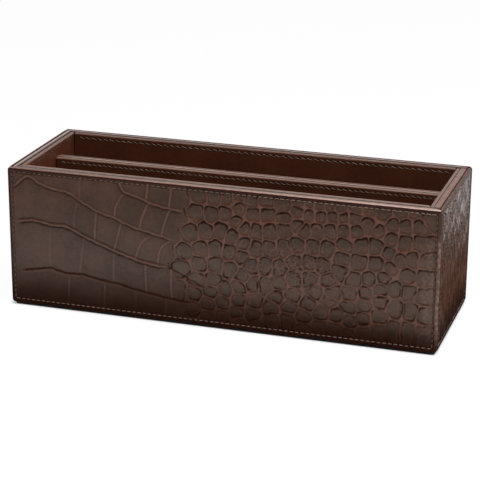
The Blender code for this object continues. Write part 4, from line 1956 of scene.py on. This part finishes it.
@dataclass(frozen=True)
class Studio:
    """White table, white surroundings and soft lamps. What gloss sees of the table holds a painted shadow
    round the rack and is painted dimmer towards the front.
    """

    table: float = 24.0
    table_drop: float = 0.1 * MM
    ambient: float = 0.28
    dim_side: float = 0.10
    dim_headings: tuple[float, float] = (-0.55, -0.15)
    table_colour: Colour = (0.90, 0.90, 0.90)
    table_roughness: float = 0.9
    table_glow: float = 0.95
    # A shadow painted round the rack, shifted back and right, which gloss sees, and how dim the table is
    # painted at its front for gloss
    shade_reach: float = 0.16
    shade_shift: tuple[float, float, float] = (0.12, 0.09, 0.0)
    shade: float = 0.03
    glow_rise: tuple[float, float] = (-0.20, 0.25)
    front_glow: float = 0.55
    contact_reach: float = 3.5 * MM
    contact_glow: float = 0.35
    softboxes: tuple[Softbox, ...] = (
        Softbox("top_softbox", (0.25, -0.30, 1.10), (1.15, 0.5), 19.0),
        Softbox("right_softbox", (1.0, 0.6, 0.9), (0.5, 0.5), 4.0),
    )

    @staticmethod
    def seen_directly(graph: Graph) -> Socket:
        """A mask of 1 for what the camera, a gloss or glass sees, and 0 for plain light."""
        path = graph.node("LightPath").outputs
        gloss = graph.calc("MAXIMUM", path["Is Glossy Ray"], path["Is Transmission Ray"])
        return graph.calc("MAXIMUM", path["Is Camera Ray"], gloss)

    def make_world(self) -> None:
        """Makes the white surroundings."""
        world = bpy.data.worlds.new("studio")
        world.use_nodes = True
        bpy.context.scene.world = world
        graph = Graph(world.node_tree)
        lamp = world.node_tree.nodes["Background"]
        lamp.inputs["Color"].default_value = (1, 1, 1, 1)
        lamp.inputs["Strength"].default_value = self.ambient
        heading = graph.node("SeparateXYZ", {0: graph.node("TexCoord").outputs["Generated"]}).outputs["Y"]
        dim = graph.spread(heading, *self.dim_headings, self.dim_side, 1.0)
        path = graph.node("LightPath").outputs
        strength = graph.calc("MAXIMUM", dim, path["Is Camera Ray"])
        white = graph.node("Background", {"Color": (1.0, 1.0, 1.0), "Strength": strength})
        inputs = {0: self.seen_directly(graph), 1: lamp.outputs[0], 2: white.outputs[0]}
        both = graph.node("MixShader", inputs)
        world.node_tree.links.new(both.outputs[0], world.node_tree.nodes["World Output"].inputs[0])

    @staticmethod
    def away(surface: Surface, shift: tuple[float, float, float]) -> Socket:
        """How far each place on the table is from the rack's foot.

        Args:
            surface: the table's material under construction.
            shift: how far the foot is moved first.

        Returns:
            The distance's socket.
        """
        graph = surface.graph
        half = (CAD_BOX[1].x, CAD_BOX[1].y, 0.0)
        spot = surface.place
        none = (0.0, 0.0, 0.0)
        for how, other in (("SUBTRACT", shift), ("ABSOLUTE", none), ("SUBTRACT", half), ("MAXIMUM", none)):
            spot = graph.node("VectorMath", {0: spot, 1: other}, operation=how).outputs[0]
        return graph.node("VectorMath", {0: spot}, operation="LENGTH").outputs["Value"]

    def make_table(self) -> None:
        """Makes the white table, which keeps the rack's soft shadow. What gloss sees of it holds a painted
        shadow round the rack, shifted back and right, and is painted dimmer towards the front.
        """
        surface = Surface.start("white_table")
        graph = surface.graph
        surface.set(Base_Color=(*self.table_colour, 1), Roughness=self.table_roughness)
        # Painted shadow round the rack and painted dimming towards the front, in the glow that gloss sees
        shaded = graph.spread(self.away(surface, self.shade_shift), 0.0, self.shade_reach, self.shade, 1.0)
        depth = graph.node("SeparateXYZ", {0: surface.place}).outputs["Y"]
        bright = graph.calc("MULTIPLY", shaded, graph.spread(depth, *self.glow_rise, self.front_glow, 1.0))
        camera = graph.node("LightPath").outputs["Is Camera Ray"]
        strength = graph.calc("MAXIMUM", bright, camera)
        glow = graph.node("Emission", {"Color": (1.0, 1.0, 1.0), "Strength": strength})
        foot = self.away(surface, (0.0, 0.0, 0.0))
        clear = graph.spread(foot, 0.0, self.contact_reach, self.contact_glow, self.table_glow)
        share = graph.calc("MULTIPLY", self.seen_directly(graph), clear)
        both = graph.node("MixShader", {0: share, 1: surface.shader.outputs[0], 2: glow.outputs[0]})
        graph.tree.links.new(both.outputs[0], graph.tree.nodes["Material Output"].inputs[0])
        mesh = bpy.data.meshes.new("table")
        reach = self.table / 2
        signs = ((-1, -1), (1, -1), (1, 1), (-1, 1))
        corners = [(x * reach, y * reach, -self.table_drop) for x, y in signs]
        mesh.from_pydata(corners, [], [(0, 1, 2, 3)])
        mesh.materials.append(surface.material)
        table = bpy.data.objects.new("table", mesh)
        bpy.context.scene.collection.objects.link(table)

    def make(self) -> None:
        """Makes the whole studio."""
        bpy.context.scene.view_settings.view_transform = "Standard"
        self.make_world()
        self.make_table()
        for softbox in self.softboxes:
            softbox.make()


def main() -> None:
    """Builds the rack's looks and its studio."""
    logging.basicConfig(level=logging.INFO, format="%(name)s: %(message)s")
    camera = PhotoCamera()
    camera.place()
    rack = LetterRack(camera, Effects())
    rack.make_covers()
    rack.make_inside()
    rack.dress_cad()
    Studio().make()


if __name__ == "__main__":
    main()
